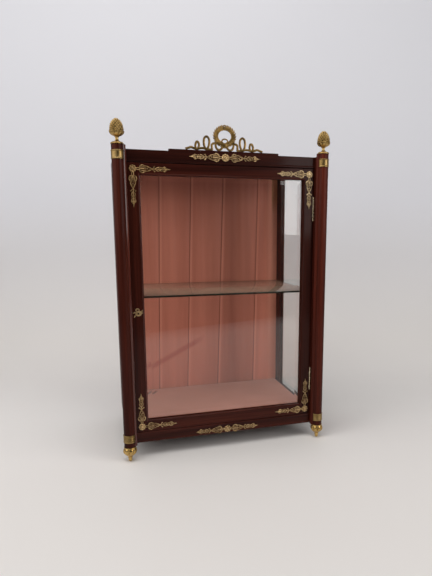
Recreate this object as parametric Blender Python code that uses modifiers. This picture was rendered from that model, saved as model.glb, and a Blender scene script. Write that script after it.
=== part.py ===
"""Wall display cabinet: mahogany case with corner columns, a glazed door and gilt bronze mounts.

Sizes are in metres. Inside this file heights run up from the tips of the drop feet, depths run
back from the door's face and widths run out from the centre line. One empty then carries the
whole case so that the world origin is the middle of the back panel's rear face, on the wall.
"""
import math

import bmesh
import bpy
from mathutils import Matrix, Vector

# Fits
FIT = 0.0003
SLIDE_FIT = 0.0003
DOOR_GAP = 0.001
# Shapes that are joined into one piece are set in by this much, so that no two faces share a plane
JOIN_INSET = 0.00012

# Corner posts, their columns and what stands on them
COLUMN_HEIGHT = 0.7248
POST_WIDTH = 0.0235
POST_SET_OUT = 0.011
POST_REAR_DEPTH = 0.040
SIDE_FRAME_THICKNESS = 0.0145
COLUMN_SPACING = 0.509
COLUMN_RADIUS = 0.01375
COLUMN_SHOULDER = 0.005
FILLET_THICKNESS = 0.005
COLLAR_HEIGHT = 0.0195
COLLAR_THICKNESS = 0.0012
COLLAR_TOP_DROP = 0.0127
COLLAR_BOTTOM_RISE = 0.0120
FOOT_HEIGHT = 0.0395
FOOT_RADIUS = 0.0172
FOOT_NECK_RADIUS = 0.0142
FOOT_STEM_RADIUS = 0.0054
FINIAL_HEIGHT = 0.0554
FINIAL_RADIUS = 0.0170
FINIAL_STEM_RADIUS = 0.0040
FINIAL_BASE_RADIUS = 0.0145

# Case
CASE_LIFT = 0.0005
CASE_DROP = 0.0073
CASE_DEPTH = 0.317
BOTTOM_RAIL_HEIGHT = 0.027
TOP_RAIL_HEIGHT = 0.028
RAIL_THICKNESS = 0.018
BEAD_HEIGHT = 0.0065
BEAD_RELIEF = 0.0015
BOTTOM_BOARD_THICKNESS = 0.025
BOTTOM_STOP = 0.009
TOP_BOARD_THICKNESS = 0.021
TOP_STOP = 0.0045
BACK_THICKNESS = 0.0057
BACK_POST_WIDTH = 0.040
SIDE_BOTTOM_RAIL_HEIGHT = 0.030
SIDE_TOP_RAIL_HEIGHT = 0.033
SIDE_GLASS_THICKNESS = 0.003
SIDE_GLASS_INSET = 0.005
GLASS_GROOVE_DEPTH = 0.004
PLINTH_LENGTH = 0.274
PLINTH_HEIGHT = 0.005
PLINTH_DEPTH = 0.014

# Inside
LINING_DEPTH = 0.006
LINING_THIN = 0.0025
PLEAT_PITCH = 0.104
PLEAT_PHASE = -0.0415
PLEAT_LAP = 0.006
PAD_THICKNESS = 0.006
PAD_ROUNDING = 0.0015
PAD_BACK_MARGIN = 0.001
SHELF_THICKNESS = 0.005
SHELF_TOP = 0.4112
SHELF_SIDE_MARGIN = 0.002
SHELF_FRONT = 0.025
SHELF_BACK_MARGIN = 0.002
SHELF_PIN_RADIUS = 0.0025
SHELF_PIN_REACH = 0.010
SHELF_PIN_SEAT = 0.008
SHELF_PIN_EDGE = 0.011

# Door
DOOR_THICKNESS = 0.018
STILE_WIDTH = 0.0292
DOOR_TOP_RAIL_HEIGHT = 0.0285
DOOR_BOTTOM_RAIL_HEIGHT = 0.030
REBATE_WIDTH = 0.0065
REBATE_FRONT = 0.0067
DOOR_GLASS_THICKNESS = 0.004
DOOR_GLASS_EDGE = 0.002
GLASS_BEVEL_WIDTH = 0.026
BEAD_STRIP_THICKNESS = 0.005

# Butt hinges
HINGE_LENGTH = 0.062
HINGE_END = 0.070
BARREL_RADIUS = 0.00175
BORE_RADIUS = 0.00095
PIN_RADIUS = 0.00075
LEAF_THICKNESS = 0.001
LEAF_WIDTH = 0.016
KNUCKLE_SHARE = 0.34
HINGE_WEB = 0.0012

# Lock
LOCK_HEIGHT = 0.373
LOCK_CASE_WIDTH = 0.0187
LOCK_CASE_DEPTH = 0.0087
LOCK_CASE_LENGTH = 0.040
BOLT_DEPTH = 0.0034
BOLT_WIDTH = 0.0114
BOLT_LENGTH = 0.0155
BOLT_SET_BACK = 0.0004
BOLT_THROW = 0.006
STRIKE_THICKNESS = 0.0008
STRIKE_LENGTH = 0.036
STRIKE_WIDTH = 0.009
KEYHOLE_RADIUS = 0.0019

# Gilt mounts
MOUNT_THICKNESS = 0.0018
CORNER_ROSETTE_RADIUS = 0.0088
CORNER_ROSETTE_RELIEF = 0.0032
CORNER_ARM_LENGTH = 0.0880
CORNER_INSET_X = 0.0130
CORNER_INSET_TOP = 0.0142
CORNER_INSET_BOTTOM = 0.0140
TOP_MOUNT_LENGTH = 0.178
BOTTOM_MOUNT_LENGTH = 0.172
LEAF_REACH = 0.010
RAIL_ROSETTE_RADIUS = 0.0095
RAIL_ROSETTE_RELIEF = 0.0034
ESCUTCHEON_LENGTH = 0.0282
ESCUTCHEON_RADIUS = 0.0078
RIBBON_RADIUS = 0.0020
CREST_REACH = 0.100
CREST_RISE = 0.040
WREATH_RADIUS_X = 0.0212
WREATH_RADIUS_Z = 0.0192
WREATH_BAND = 0.0062
WREATH_DEPTH = 0.0030
WREATH_HEIGHT = 0.0350
KNOT_RADIUS = 0.0070
KNOT_HEIGHT = 0.0232

# Profile of a flower head, as shares of its radius and relief
ROSETTE_PROFILE = ((0.0, 1.0), (0.28, 0.96), (0.36, 0.74), (0.66, 0.80), (0.92, 0.62), (1.0, 0.40),
                   (1.0, 0.0), (0.0, 0.0))

# Half widths of the leafy arm of a corner mount, as shares of LEAF_REACH, at shares of its length
ARM_SHAPE = ((0.00, 0.40), (0.11, 0.34), (0.15, 0.50), (0.18, 1.05), (0.24, 1.15), (0.30, 0.90),
             (0.38, 0.80), (0.46, 0.45), (0.49, 0.36), (0.54, 0.80), (0.61, 0.78), (0.70, 0.50),
             (0.77, 0.38), (0.84, 0.62), (0.89, 0.34), (1.00, 0.04))

# The same for half of a rail mount, out from its rosette
RAIL_SHAPE = ((0.00, 0.60), (0.12, 0.52), (0.15, 0.55), (0.18, 0.96), (0.24, 1.03), (0.30, 0.88),
              (0.38, 0.80), (0.46, 0.45), (0.49, 0.36), (0.54, 0.80), (0.61, 0.78), (0.70, 0.50),
              (0.77, 0.38), (0.84, 0.62), (0.89, 0.34), (1.00, 0.04))

# Strokes of the crest's ribbon: how far back each weaves, as a share of RIBBON_RADIUS, its points, as shares of
# CREST_REACH across and CREST_RISE up, and whether it closes on itself
RIBBON_STROKES = {
    "swag": (-0.2, ((0.02, 0.355), (0.16, 0.4375), (0.26, 0.445), (0.315, 0.375), (0.322, 0.215),
                    (0.315, 0.05)), False),
    "curl": (0.4, ((0.03, 0.36), (0.07, 0.18), (0.12, 0.08), (0.175, 0.095), (0.215, 0.23),
                   (0.225, 0.43)), False),
    "tall_loop": (0.0, ((0.46, 0.05), (0.41, 0.1625), (0.373, 0.375), (0.366, 0.60), (0.403, 0.78),
                        (0.45, 0.835), (0.50, 0.775), (0.53, 0.575), (0.53, 0.35), (0.505, 0.1625)), True),
    "small_loop": (0.0, ((0.685, 0.05), (0.643, 0.175), (0.632, 0.375), (0.675, 0.515), (0.719, 0.3875),
                         (0.724, 0.175)), True),
    "link": (0.5, ((0.30, 0.06), (0.40, 0.075), (0.50, 0.12), (0.58, 0.13), (0.695, 0.0625)), False),
    "tail": (-0.3, ((0.665, 0.06), (0.76, 0.11), (0.83, 0.165), (0.89, 0.115), (0.965, 0.06)), False),
}

# Hanging plates on the back
HANGER_LENGTH = 0.046
HANGER_HEIGHT = 0.018
HANGER_THICKNESS = 0.002
HANGER_FROM_SIDE = 0.0647
HANGER_HOLE_RADIUS = 0.004
HANGER_SLOT_WIDTH = 0.004
HANGER_SLOT_RISE = 0.0055
HANGER_POCKET = 0.008

# Worked out from the sizes above
COLUMN_BOTTOM = FOOT_HEIGHT
COLUMN_TOP = COLUMN_BOTTOM + COLUMN_HEIGHT
CASE_BOTTOM = COLUMN_BOTTOM + CASE_LIFT
CASE_TOP = COLUMN_TOP - CASE_DROP
MOUNT_HEIGHT = (CASE_BOTTOM + CASE_TOP) / 2

COLUMN_X = COLUMN_SPACING / 2
POST_OUTER = COLUMN_X + COLUMN_SHOULDER
POST_INNER = POST_OUTER - POST_WIDTH
COLUMN_Y = -POST_SET_OUT
SIDE_INNER = POST_OUTER - SIDE_FRAME_THICKNESS

BOARD_FRONT = RAIL_THICKNESS + FIT
BACK_FRONT = CASE_DEPTH - BACK_THICKNESS
BACK_POST_BACK = BACK_FRONT - FIT
BACK_POST_FRONT = BACK_POST_BACK - BACK_POST_WIDTH
BOARD_HALF = SIDE_INNER - FIT
BOTTOM_BOARD_TOP = CASE_BOTTOM + BOTTOM_RAIL_HEIGHT + DOOR_GAP + BOTTOM_STOP
DOOR_BOTTOM = CASE_BOTTOM + BOTTOM_RAIL_HEIGHT + DOOR_GAP
DOOR_TOP = CASE_TOP - TOP_RAIL_HEIGHT - DOOR_GAP
TOP_BOARD_BOTTOM = DOOR_TOP - TOP_STOP
DOOR_HALF = POST_INNER - DOOR_GAP
SIGHT_HALF = DOOR_HALF - STILE_WIDTH
SIGHT_BOTTOM = DOOR_BOTTOM + DOOR_BOTTOM_RAIL_HEIGHT
SIGHT_TOP = DOOR_TOP - DOOR_TOP_RAIL_HEIGHT

PAD_TOP = BOTTOM_BOARD_TOP + FIT + PAD_THICKNESS
LINING_FRONT = BACK_POST_BACK - LINING_DEPTH
SHELF_BOTTOM = SHELF_TOP - SHELF_THICKNESS
SHELF_PIN_Z = SHELF_BOTTOM - FIT - SHELF_PIN_RADIUS
PIN_PLACES = {"front": POST_REAR_DEPTH - SHELF_PIN_EDGE, "back": BACK_POST_FRONT + BACK_POST_WIDTH / 2}

SIDE_SIGHT_BOTTOM = CASE_BOTTOM + SIDE_BOTTOM_RAIL_HEIGHT
SIDE_SIGHT_TOP = CASE_TOP - SIDE_TOP_RAIL_HEIGHT
PANE_INNER = SIDE_INNER + SIDE_GLASS_INSET
PANE_OUTER = PANE_INNER + SIDE_GLASS_THICKNESS
PANE_Y = (POST_REAR_DEPTH - GLASS_GROOVE_DEPTH, BACK_POST_FRONT + GLASS_GROOVE_DEPTH)
PANE_Z = (SIDE_SIGHT_BOTTOM - GLASS_GROOVE_DEPTH, SIDE_SIGHT_TOP + GLASS_GROOVE_DEPTH)

HINGE_X = POST_INNER - FIT - BARREL_RADIUS
HINGE_Y = -FIT - BARREL_RADIUS
HINGE_CENTRES = {
    "upper": DOOR_TOP - HINGE_END - HINGE_LENGTH / 2,
    "lower": DOOR_BOTTOM + HINGE_END + HINGE_LENGTH / 2,
}
KEYHOLE_X = -DOOR_HALF + STILE_WIDTH / 2
LOCK_CASE_FRONT = DOOR_THICKNESS - FIT - LOCK_CASE_DEPTH
BOLT_Y = LOCK_CASE_FRONT + LOCK_CASE_DEPTH / 2

SIDES = {"left": -1, "right": 1}


def clear_scene():
    for obj in list(bpy.data.objects):
        bpy.data.objects.remove(obj, do_unlink=True)


def new_collection(name):
    collection = bpy.data.collections.new(name)
    bpy.context.scene.collection.children.link(collection)
    return collection


def new_material(name, colour, roughness, metallic=0.0, transmission=0.0):
    material = bpy.data.materials.new(name)
    material.use_nodes = True
    shader = material.node_tree.nodes["Principled BSDF"]
    shader.inputs["Base Color"].default_value = (*colour, 1.0)
    shader.inputs["Roughness"].default_value = roughness
    shader.inputs["Metallic"].default_value = metallic
    shader.inputs["Transmission Weight"].default_value = transmission
    material.diffuse_color = (*colour, 1.0)
    return material


clear_scene()
PARTS = new_collection("wall_display_cabinet")
CUTTERS = new_collection("cutters")

MAHOGANY = new_material("mahogany", (0.075, 0.016, 0.012), 0.22)
GILT = new_material("gilt_bronze", (0.50, 0.32, 0.10), 0.35, metallic=1.0)
BRASS = new_material("brass", (0.55, 0.40, 0.16), 0.30, metallic=1.0)
STEEL = new_material("steel", (0.45, 0.44, 0.42), 0.35, metallic=1.0)
GLASS = new_material("glass", (0.90, 0.95, 0.92), 0.03, transmission=1.0)
SILK = new_material("pink_silk", (0.42, 0.17, 0.13), 0.55)
CLOTH = new_material("pink_cloth", (0.44, 0.20, 0.16), 0.80)

# The case empty puts the wall face at the world origin; the door and bolt empties sit on their axes.
CASE = bpy.data.objects.new("case", None)
DOOR = bpy.data.objects.new("door", None)
BOLT = bpy.data.objects.new("bolt", None)
ORIGINS = {
    "case": Vector((0, 0, 0)),
    "door": Vector((HINGE_X, HINGE_Y, (DOOR_BOTTOM + DOOR_TOP) / 2)),
    "bolt": Vector((-DOOR_HALF, BOLT_Y, LOCK_HEIGHT)),
}
for empty in (CASE, DOOR, BOLT):
    PARTS.objects.link(empty)
CASE.location = (0, -CASE_DEPTH, -MOUNT_HEIGHT)
DOOR.parent = CASE
DOOR.location = ORIGINS["door"]
BOLT.parent = DOOR
BOLT.location = ORIGINS["bolt"] - ORIGINS["door"]


def seat(obj, material, parent, point):
    """Put an object at a point of the case, under its carrier."""
    PARTS.objects.link(obj)
    if material is not None:
        obj.data.materials.append(material)
    obj.parent = parent
    obj.location = Vector(point) - ORIGINS[parent.name]
    return obj


def make_helper(obj):
    """Turn an object into a hidden cutter or a hidden shape to be joined."""
    for collection in list(obj.users_collection):
        collection.objects.unlink(obj)
    CUTTERS.objects.link(obj)
    obj.hide_render = True
    obj.display_type = "WIRE"
    return obj


def mesh_of(name, build):
    """A mesh filled by a bmesh function."""
    mesh = bpy.data.meshes.new(name)
    work = bmesh.new()
    build(work)
    work.to_mesh(mesh)
    work.free()
    return mesh


def box(name, x, y, z, material=MAHOGANY, parent=CASE):
    """A block between two limits along each axis of the case."""
    size = Vector((x[1] - x[0], y[1] - y[0], z[1] - z[0]))
    centre = Vector((x[0] + x[1], y[0] + y[1], z[0] + z[1])) / 2

    def build(work):
        bmesh.ops.create_cube(work, size=1.0, matrix=Matrix.Diagonal(size).to_4x4())

    return seat(bpy.data.objects.new(name, mesh_of(name, build)), material, parent, centre)


AXES = {
    "X": Matrix.Rotation(math.radians(90), 4, "Y"),
    "Y": Matrix.Rotation(math.radians(90), 4, "X"),
    "Z": Matrix.Identity(4),
}


def rod(name, axis, centre, radius, length, material=BRASS, parent=CASE, sides=16):
    """A round bar along one axis."""

    def build(work):
        bmesh.ops.create_cone(
            work, cap_ends=True, segments=sides, radius1=radius, radius2=radius, depth=length,
            matrix=AXES[axis],
        )

    return smooth(seat(bpy.data.objects.new(name, mesh_of(name, build)), material, parent, centre))


def smooth(obj, angle=40):
    obj.data.shade_smooth()
    obj.data.set_sharp_from_angle(angle=math.radians(angle))
    return obj


def turned(name, profile, material, parent, point, steps=20, closed=False):
    """A turned piece from (radius, height) points that run down its outer side."""

    def build(work):
        verts = [work.verts.new((radius, 0, height)) for radius, height in profile]
        for first, second in zip(verts, verts[1:]):
            work.edges.new((first, second))
        if closed:
            work.edges.new((verts[-1], verts[0]))

    obj = seat(bpy.data.objects.new(name, mesh_of(name, build)), material, parent, point)
    screw = obj.modifiers.new("turn", "SCREW")
    screw.axis = "Z"
    screw.steps = steps
    screw.render_steps = steps
    screw.use_merge_vertices = True
    screw.merge_threshold = 0.00001
    screw.use_smooth_shade = True
    return obj


def as_mesh(obj, name):
    """Replace a curve, or an object with modifiers, by its welded mesh."""
    graph = bpy.context.evaluated_depsgraph_get()
    mesh = bpy.data.meshes.new_from_object(obj.evaluated_get(graph))
    work = bmesh.new()
    work.from_mesh(mesh)
    bmesh.ops.remove_doubles(work, verts=work.verts, dist=0.00001)
    bmesh.ops.recalc_face_normals(work, faces=work.faces)
    work.to_mesh(mesh)
    work.free()
    solid = bpy.data.objects.new(name, mesh)
    solid.parent = obj.parent
    solid.location = obj.location
    PARTS.objects.link(solid)
    bpy.data.objects.remove(obj, do_unlink=True)
    solid.name = name
    return solid


FACE_FRONT = Matrix.Rotation(math.radians(90), 4, "X")
LIE_FLAT = Matrix.Identity(4)
FACE_SIDE = Matrix(((0, 0, 1, 0), (1, 0, 0, 0), (0, 1, 0, 0), (0, 0, 0, 1)))


def plate(name, outline, thickness, turn, material, parent, point):
    """A flat outline with a thickness; its two axes are turned into the case's axes."""
    curve = bpy.data.curves.new(name, "CURVE")
    curve.dimensions = "2D"
    curve.fill_mode = "BOTH"
    curve.extrude = thickness / 2
    spline = curve.splines.new("POLY")
    spline.points.add(len(outline) - 1)
    for target, (across, up) in zip(spline.points, outline):
        target.co = (across, up, 0, 1)
    spline.use_cyclic_u = True
    solid = as_mesh(seat(bpy.data.objects.new(name, curve), material, parent, point), name)
    solid.data.transform(turn)
    return solid


def through_points(points, steps, closed=False):
    """Points on a smooth curve through the given points."""
    count = len(points)
    spans = count if closed else count - 1
    path = []
    for span in range(spans):
        if closed:
            around = [points[(span + shift) % count] for shift in (-1, 0, 1, 2)]
        else:
            around = [points[min(max(span + shift, 0), count - 1)] for shift in (-1, 0, 1, 2)]
        before, start, end, after = (Vector(point) for point in around)
        for step in range(steps):
            t = step / steps
            path.append(
                0.5 * (2 * start + (end - before) * t + (2 * before - 5 * start + 4 * end - after) * t ** 2
                       + (3 * start - before - 3 * end + after) * t ** 3)
            )
    if not closed:
        path.append(Vector(points[-1]))
    return path


def strand(name, points, radius, material, parent, point, closed=False, steps=3):
    """A round strand in the plane of the front, through (across, up) points."""
    curve = bpy.data.curves.new(name, "CURVE")
    curve.dimensions = "3D"
    curve.bevel_depth = radius
    curve.bevel_resolution = 1
    curve.use_fill_caps = True
    path = through_points(points, steps, closed)
    spline = curve.splines.new("POLY")
    spline.points.add(len(path) - 1)
    for target, (across, up) in zip(spline.points, path):
        target.co = (across, 0, up, 1)
    spline.use_cyclic_u = closed
    return as_mesh(seat(bpy.data.objects.new(name, curve), material, parent, point), name)


def boolean(obj, other, operation):
    modifier = obj.modifiers.new(other.name, "BOOLEAN")
    modifier.operation = operation
    modifier.solver = "EXACT"
    modifier.object = other


def cut(obj, *cutters):
    for cutter in cutters:
        boolean(obj, cutter, "DIFFERENCE")
    return obj


def join(obj, *shapes):
    for shape in shapes:
        boolean(obj, make_helper(shape), "UNION")
    return obj


def cutter_box(name, x, y, z, parent=CASE):
    return make_helper(box(name, x, y, z, None, parent))


def cutter_rod(name, axis, centre, radius, length, parent=CASE):
    return make_helper(rod(name, axis, centre, radius, length, None, parent))


def mirrored(side, near, far):
    """Limits along X for one side of the case."""
    return (near, far) if side > 0 else (-far, -near)


def grow(limits, amount):
    return limits[0] - amount, limits[1] + amount


def make_posts_and_columns():
    """Corner posts, each with a round column and a flat fillet in front of it."""
    posts = {}
    for label, side in SIDES.items():
        post_x = mirrored(side, POST_INNER, POST_OUTER)
        post_y = (-POST_SET_OUT, POST_REAR_DEPTH)
        post_z = (CASE_BOTTOM, CASE_TOP)
        posts[label] = box("front_post_" + label, post_x, post_y, post_z)
        relief = cutter_box(
            "side_relief_" + label,
            mirrored(side, POST_INNER - FIT, SIDE_INNER),
            (DOOR_THICKNESS + FIT, POST_REAR_DEPTH + FIT),
            grow(post_z, FIT),
        )
        cut(posts[label], relief, GROOVES[label], PIN_HOLES[label, "front"])
        around_post = cutter_box(
            "around_post_" + label, grow(post_x, FIT), grow(post_y, FIT), grow(post_z, FIT)
        )

        axis = (side * COLUMN_X, COLUMN_Y)
        middle = (*axis, COLUMN_BOTTOM + COLUMN_HEIGHT / 2)
        fillet_x = mirrored(side, POST_INNER, COLUMN_X)
        fillet_y = (-POST_SET_OUT - FILLET_THICKNESS, -POST_SET_OUT)
        fillet_z = (COLUMN_BOTTOM, COLUMN_TOP)
        column = rod("column_" + label, "Z", middle, COLUMN_RADIUS, COLUMN_HEIGHT, MAHOGANY, sides=32)
        join(column, box("fillet_" + label, fillet_x, fillet_y, fillet_z, None))
        cut(column, around_post)
        around_fillet = cutter_box(
            "around_fillet_" + label, grow(fillet_x, FIT), grow(fillet_y, FIT), grow(fillet_z, FIT)
        )
        make_collars(label, axis, around_post, around_fillet)
        make_finial(label, axis)
        make_foot(label, axis)
    return posts


def make_collars(label, axis, *stops):
    """Moulded bands that wrap the round of the column and stop against the post and fillet."""
    inner = COLUMN_RADIUS + FIT
    outer = inner + COLLAR_THICKNESS
    lip = COLLAR_HEIGHT / 6
    half = COLLAR_HEIGHT / 2
    waist = outer - COLLAR_THICKNESS / 3
    profile = [
        (inner, half), (outer, half), (outer, half - lip), (waist, half - 1.5 * lip),
        (waist, 1.5 * lip - half), (outer, lip - half), (outer, -half), (inner, -half),
    ]
    heights = {
        "upper": COLUMN_TOP - COLLAR_TOP_DROP - half,
        "lower": COLUMN_BOTTOM + COLLAR_BOTTOM_RISE + half,
    }
    for place, height in heights.items():
        name = place + "_collar_" + label
        cut(turned(name, profile, GILT, CASE, (*axis, height), steps=28, closed=True), *stops)


def make_finial(label, axis):
    """Pine cone in a cup on a turned stem."""
    top, wide, stem = FINIAL_HEIGHT, FINIAL_RADIUS, FINIAL_STEM_RADIUS
    base = FINIAL_BASE_RADIUS
    profile = [
        (0, top), (0.26 * wide, 0.98 * top), (0.54 * wide, 0.89 * top), (0.74 * wide, 0.755 * top),
        (0.83 * wide, 0.625 * top), (0.88 * wide, 0.55 * top), (wide, 0.51 * top), (0.93 * wide, 0.455 * top),
        (0.66 * wide, 0.375 * top), (0.36 * wide, 0.315 * top), (stem, 0.28 * top), (stem, 0.13 * top),
        (0.60 * base, 0.09 * top), (0.95 * base, 0.045 * top), (base, 0.02 * top), (base, 0), (0, 0),
    ]
    turned("pine_cone_finial_" + label, profile, GILT, CASE, (*axis, COLUMN_TOP + FIT), steps=24)


def make_foot(label, axis):
    """Leafy drop that hangs under the column."""
    top = FOOT_HEIGHT - FIT
    wide, neck, stem = FOOT_RADIUS, FOOT_NECK_RADIUS, FOOT_STEM_RADIUS
    profile = [
        (0, top), (neck, top), (1.06 * neck, 0.93 * top), (0.97 * wide, 0.80 * top), (wide, 0.69 * top),
        (0.95 * wide, 0.61 * top), (0.81 * wide, 0.525 * top), (0.47 * wide, 0.375 * top), (stem, 0.315 * top),
        (0.92 * stem, 0.20 * top), (0.74 * stem, 0.07 * top), (0.40 * stem, 0.015 * top), (0, 0),
    ]
    turned("drop_foot_" + label, profile, GILT, CASE, (*axis, 0), steps=24)


def make_side_cutters():
    """Grooves for the side glass and holes for the shelf pins, one set a side."""
    grooves, holes = {}, {}
    for label, side in SIDES.items():
        pane_x = mirrored(side, PANE_INNER, PANE_OUTER)
        grooves[label] = cutter_box(
            "glass_groove_" + label, grow(pane_x, FIT), grow(PANE_Y, FIT), grow(PANE_Z, FIT)
        )
        for place, depth in PIN_PLACES.items():
            centre = (side * (SIDE_INNER + SHELF_PIN_SEAT / 2), depth, SHELF_PIN_Z)
            name = "pin_hole_%s_%s" % (label, place)
            length = SHELF_PIN_SEAT + 2 * FIT
            holes[label, place] = cutter_rod(name, "X", centre, SHELF_PIN_RADIUS + FIT, length)
    return grooves, holes


GROOVES, PIN_HOLES = make_side_cutters()


def make_sides():
    """Rear posts, side rails and panes."""
    rail_y = (POST_REAR_DEPTH + FIT, BACK_POST_FRONT - FIT)
    for label, side in SIDES.items():
        frame_x = mirrored(side, SIDE_INNER, POST_OUTER)
        post_y = (BACK_POST_FRONT, BACK_POST_BACK)
        back_post = box("back_post_" + label, frame_x, post_y, (CASE_BOTTOM, CASE_TOP))
        bottom = box("side_bottom_rail_" + label, frame_x, rail_y, (CASE_BOTTOM, SIDE_SIGHT_BOTTOM))
        top = box("side_top_rail_" + label, frame_x, rail_y, (SIDE_SIGHT_TOP, CASE_TOP))
        cut(back_post, GROOVES[label], PIN_HOLES[label, "back"])
        cut(bottom, GROOVES[label])
        cut(top, GROOVES[label])
        box("side_glass_" + label, mirrored(side, PANE_INNER, PANE_OUTER), PANE_Y, PANE_Z, GLASS)


def make_front_rails():
    """Front rails with a bead along the edge that meets the door; the top one is raised under the crest."""
    half = POST_INNER - FIT
    for name, low, high, bead in (
        ("bottom_rail", CASE_BOTTOM, CASE_BOTTOM + BOTTOM_RAIL_HEIGHT, "top"),
        ("top_rail", CASE_TOP - TOP_RAIL_HEIGHT, CASE_TOP, "bottom"),
    ):
        height = high - low
        nose = [(0, BEAD_HEIGHT), (-BEAD_RELIEF, 0.8 * BEAD_HEIGHT), (-BEAD_RELIEF, 0.2 * BEAD_HEIGHT),
                (0, 0)]
        section = [(RAIL_THICKNESS, 0), (RAIL_THICKNESS, height), (0, height)] + nose
        if bead == "top":
            section = [(depth, height - up) for depth, up in section]
        plate(name, section, 2 * half, FACE_SIDE, MAHOGANY, CASE, (0, 0, low))
    plinth_x = (-PLINTH_LENGTH / 2, PLINTH_LENGTH / 2)
    plinth_z = (CASE_TOP - PLINTH_HEIGHT, CASE_TOP + PLINTH_HEIGHT)
    join(bpy.data.objects["top_rail"], box("crest_plinth", plinth_x, (0, PLINTH_DEPTH), plinth_z, None))


def make_boards():
    """Top, bottom and back of the case, with the hanging plates."""
    boards_y = (BOARD_FRONT, BACK_POST_BACK)
    bottom_z = (BOTTOM_BOARD_TOP - BOTTOM_BOARD_THICKNESS, BOTTOM_BOARD_TOP)
    top_z = (TOP_BOARD_BOTTOM, TOP_BOARD_BOTTOM + TOP_BOARD_THICKNESS)
    box("bottom_board", (-BOARD_HALF, BOARD_HALF), boards_y, bottom_z)
    top = box("top_board", (-BOARD_HALF, BOARD_HALF), boards_y, top_z)
    back = box("back_panel", (-POST_OUTER, POST_OUTER), (BACK_FRONT, CASE_DEPTH), (CASE_BOTTOM, CASE_TOP))
    middle = (top_z[0] + top_z[1]) / 2
    for label, side in SIDES.items():
        make_hanger(label, side * (BOARD_HALF - HANGER_FROM_SIDE), middle, top, back)


def make_hanger(label, across, height, top, back):
    """Keyhole plate on the top board's rear edge, sunk in a window of the back panel."""
    plate_x = (across - HANGER_LENGTH / 2, across + HANGER_LENGTH / 2)
    plate_z = (height - HANGER_HEIGHT / 2, height + HANGER_HEIGHT / 2)
    plate_y = (BACK_POST_BACK + FIT, BACK_POST_BACK + FIT + HANGER_THICKNESS)
    window = cutter_box(
        "hanger_window_" + label, grow(plate_x, FIT), grow((BACK_FRONT, CASE_DEPTH), FIT), grow(plate_z, FIT)
    )
    cut(back, window)
    hole_z = height - HANGER_SLOT_RISE / 2
    slot_x = (across - HANGER_SLOT_WIDTH / 2, across + HANGER_SLOT_WIDTH / 2)
    slot_z = (hole_z, hole_z + HANGER_SLOT_RISE)
    hole = cutter_rod(
        "hanger_hole_" + label, "Y", (across, plate_y[0], hole_z), HANGER_HOLE_RADIUS, 4 * HANGER_THICKNESS
    )
    slot = cutter_box("hanger_slot_" + label, slot_x, grow(plate_y, HANGER_THICKNESS), slot_z)
    cut(box("hanging_plate_" + label, plate_x, plate_y, plate_z, STEEL), hole, slot)
    pocket_x = (across - HANGER_HOLE_RADIUS, across + HANGER_HOLE_RADIUS)
    pocket_z = (hole_z - HANGER_HOLE_RADIUS, slot_z[1] + HANGER_SLOT_WIDTH / 2)
    pocket_y = (BACK_POST_BACK - HANGER_POCKET, BACK_POST_BACK + FIT)
    cut(top, cutter_box("hanger_pocket_" + label, pocket_x, pocket_y, pocket_z))


def make_inside():
    """Silk lining, covered floor, glass shelf and its pins."""
    make_lining()
    pad_x = (FIT - BOARD_HALF, BOARD_HALF - FIT)
    pad_y = (BOARD_FRONT + FIT, LINING_FRONT - PAD_BACK_MARGIN)
    pad = box("floor_pad", pad_x, pad_y, (BOTTOM_BOARD_TOP + FIT, PAD_TOP), CLOTH)
    bevel = pad.modifiers.new("rounding", "BEVEL")
    bevel.width = PAD_ROUNDING
    bevel.segments = 2
    shelf_x = (SHELF_SIDE_MARGIN - SIDE_INNER, SIDE_INNER - SHELF_SIDE_MARGIN)
    shelf_y = (SHELF_FRONT, LINING_FRONT - SHELF_BACK_MARGIN)
    box("glass_shelf", shelf_x, shelf_y, (SHELF_BOTTOM, SHELF_TOP), GLASS)
    length = SHELF_PIN_SEAT + SHELF_PIN_REACH
    for label, side in SIDES.items():
        across = side * (SIDE_INNER + SHELF_PIN_SEAT - length / 2)
        for place, depth in PIN_PLACES.items():
            name = "shelf_pin_%s_%s" % (place, label)
            rod(name, "X", (across, depth, SHELF_PIN_Z), SHELF_PIN_RADIUS, length)


def make_lining():
    """Silk stretched over the back in wide pleats, each lapping the next."""
    half = BOARD_HALF - FIT
    thick, thin = LINING_DEPTH - FIT, LINING_THIN
    creases = [PLEAT_PHASE + PLEAT_PITCH * number for number in range(-8, 9)]
    creases = [across for across in creases if -half + PLEAT_LAP < across < half - PLEAT_LAP]
    front = [(-half, thin)]
    for across in creases:
        front.append((across - PLEAT_LAP, thick))
        front.append((across - PLEAT_LAP / 4, thick - PLEAT_LAP / 8))
        front.append((across, thin))
    front.append((half, thick))
    section = [(across, -depth) for across, depth in front] + [(half, 0), (-half, 0)]
    low, high = BOTTOM_BOARD_TOP + FIT, TOP_BOARD_BOTTOM - FIT
    point = (0, BACK_FRONT - 2 * FIT, (low + high) / 2)
    plate("silk_back_lining", section, high - low, LIE_FLAT, SILK, CASE, point)


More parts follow.
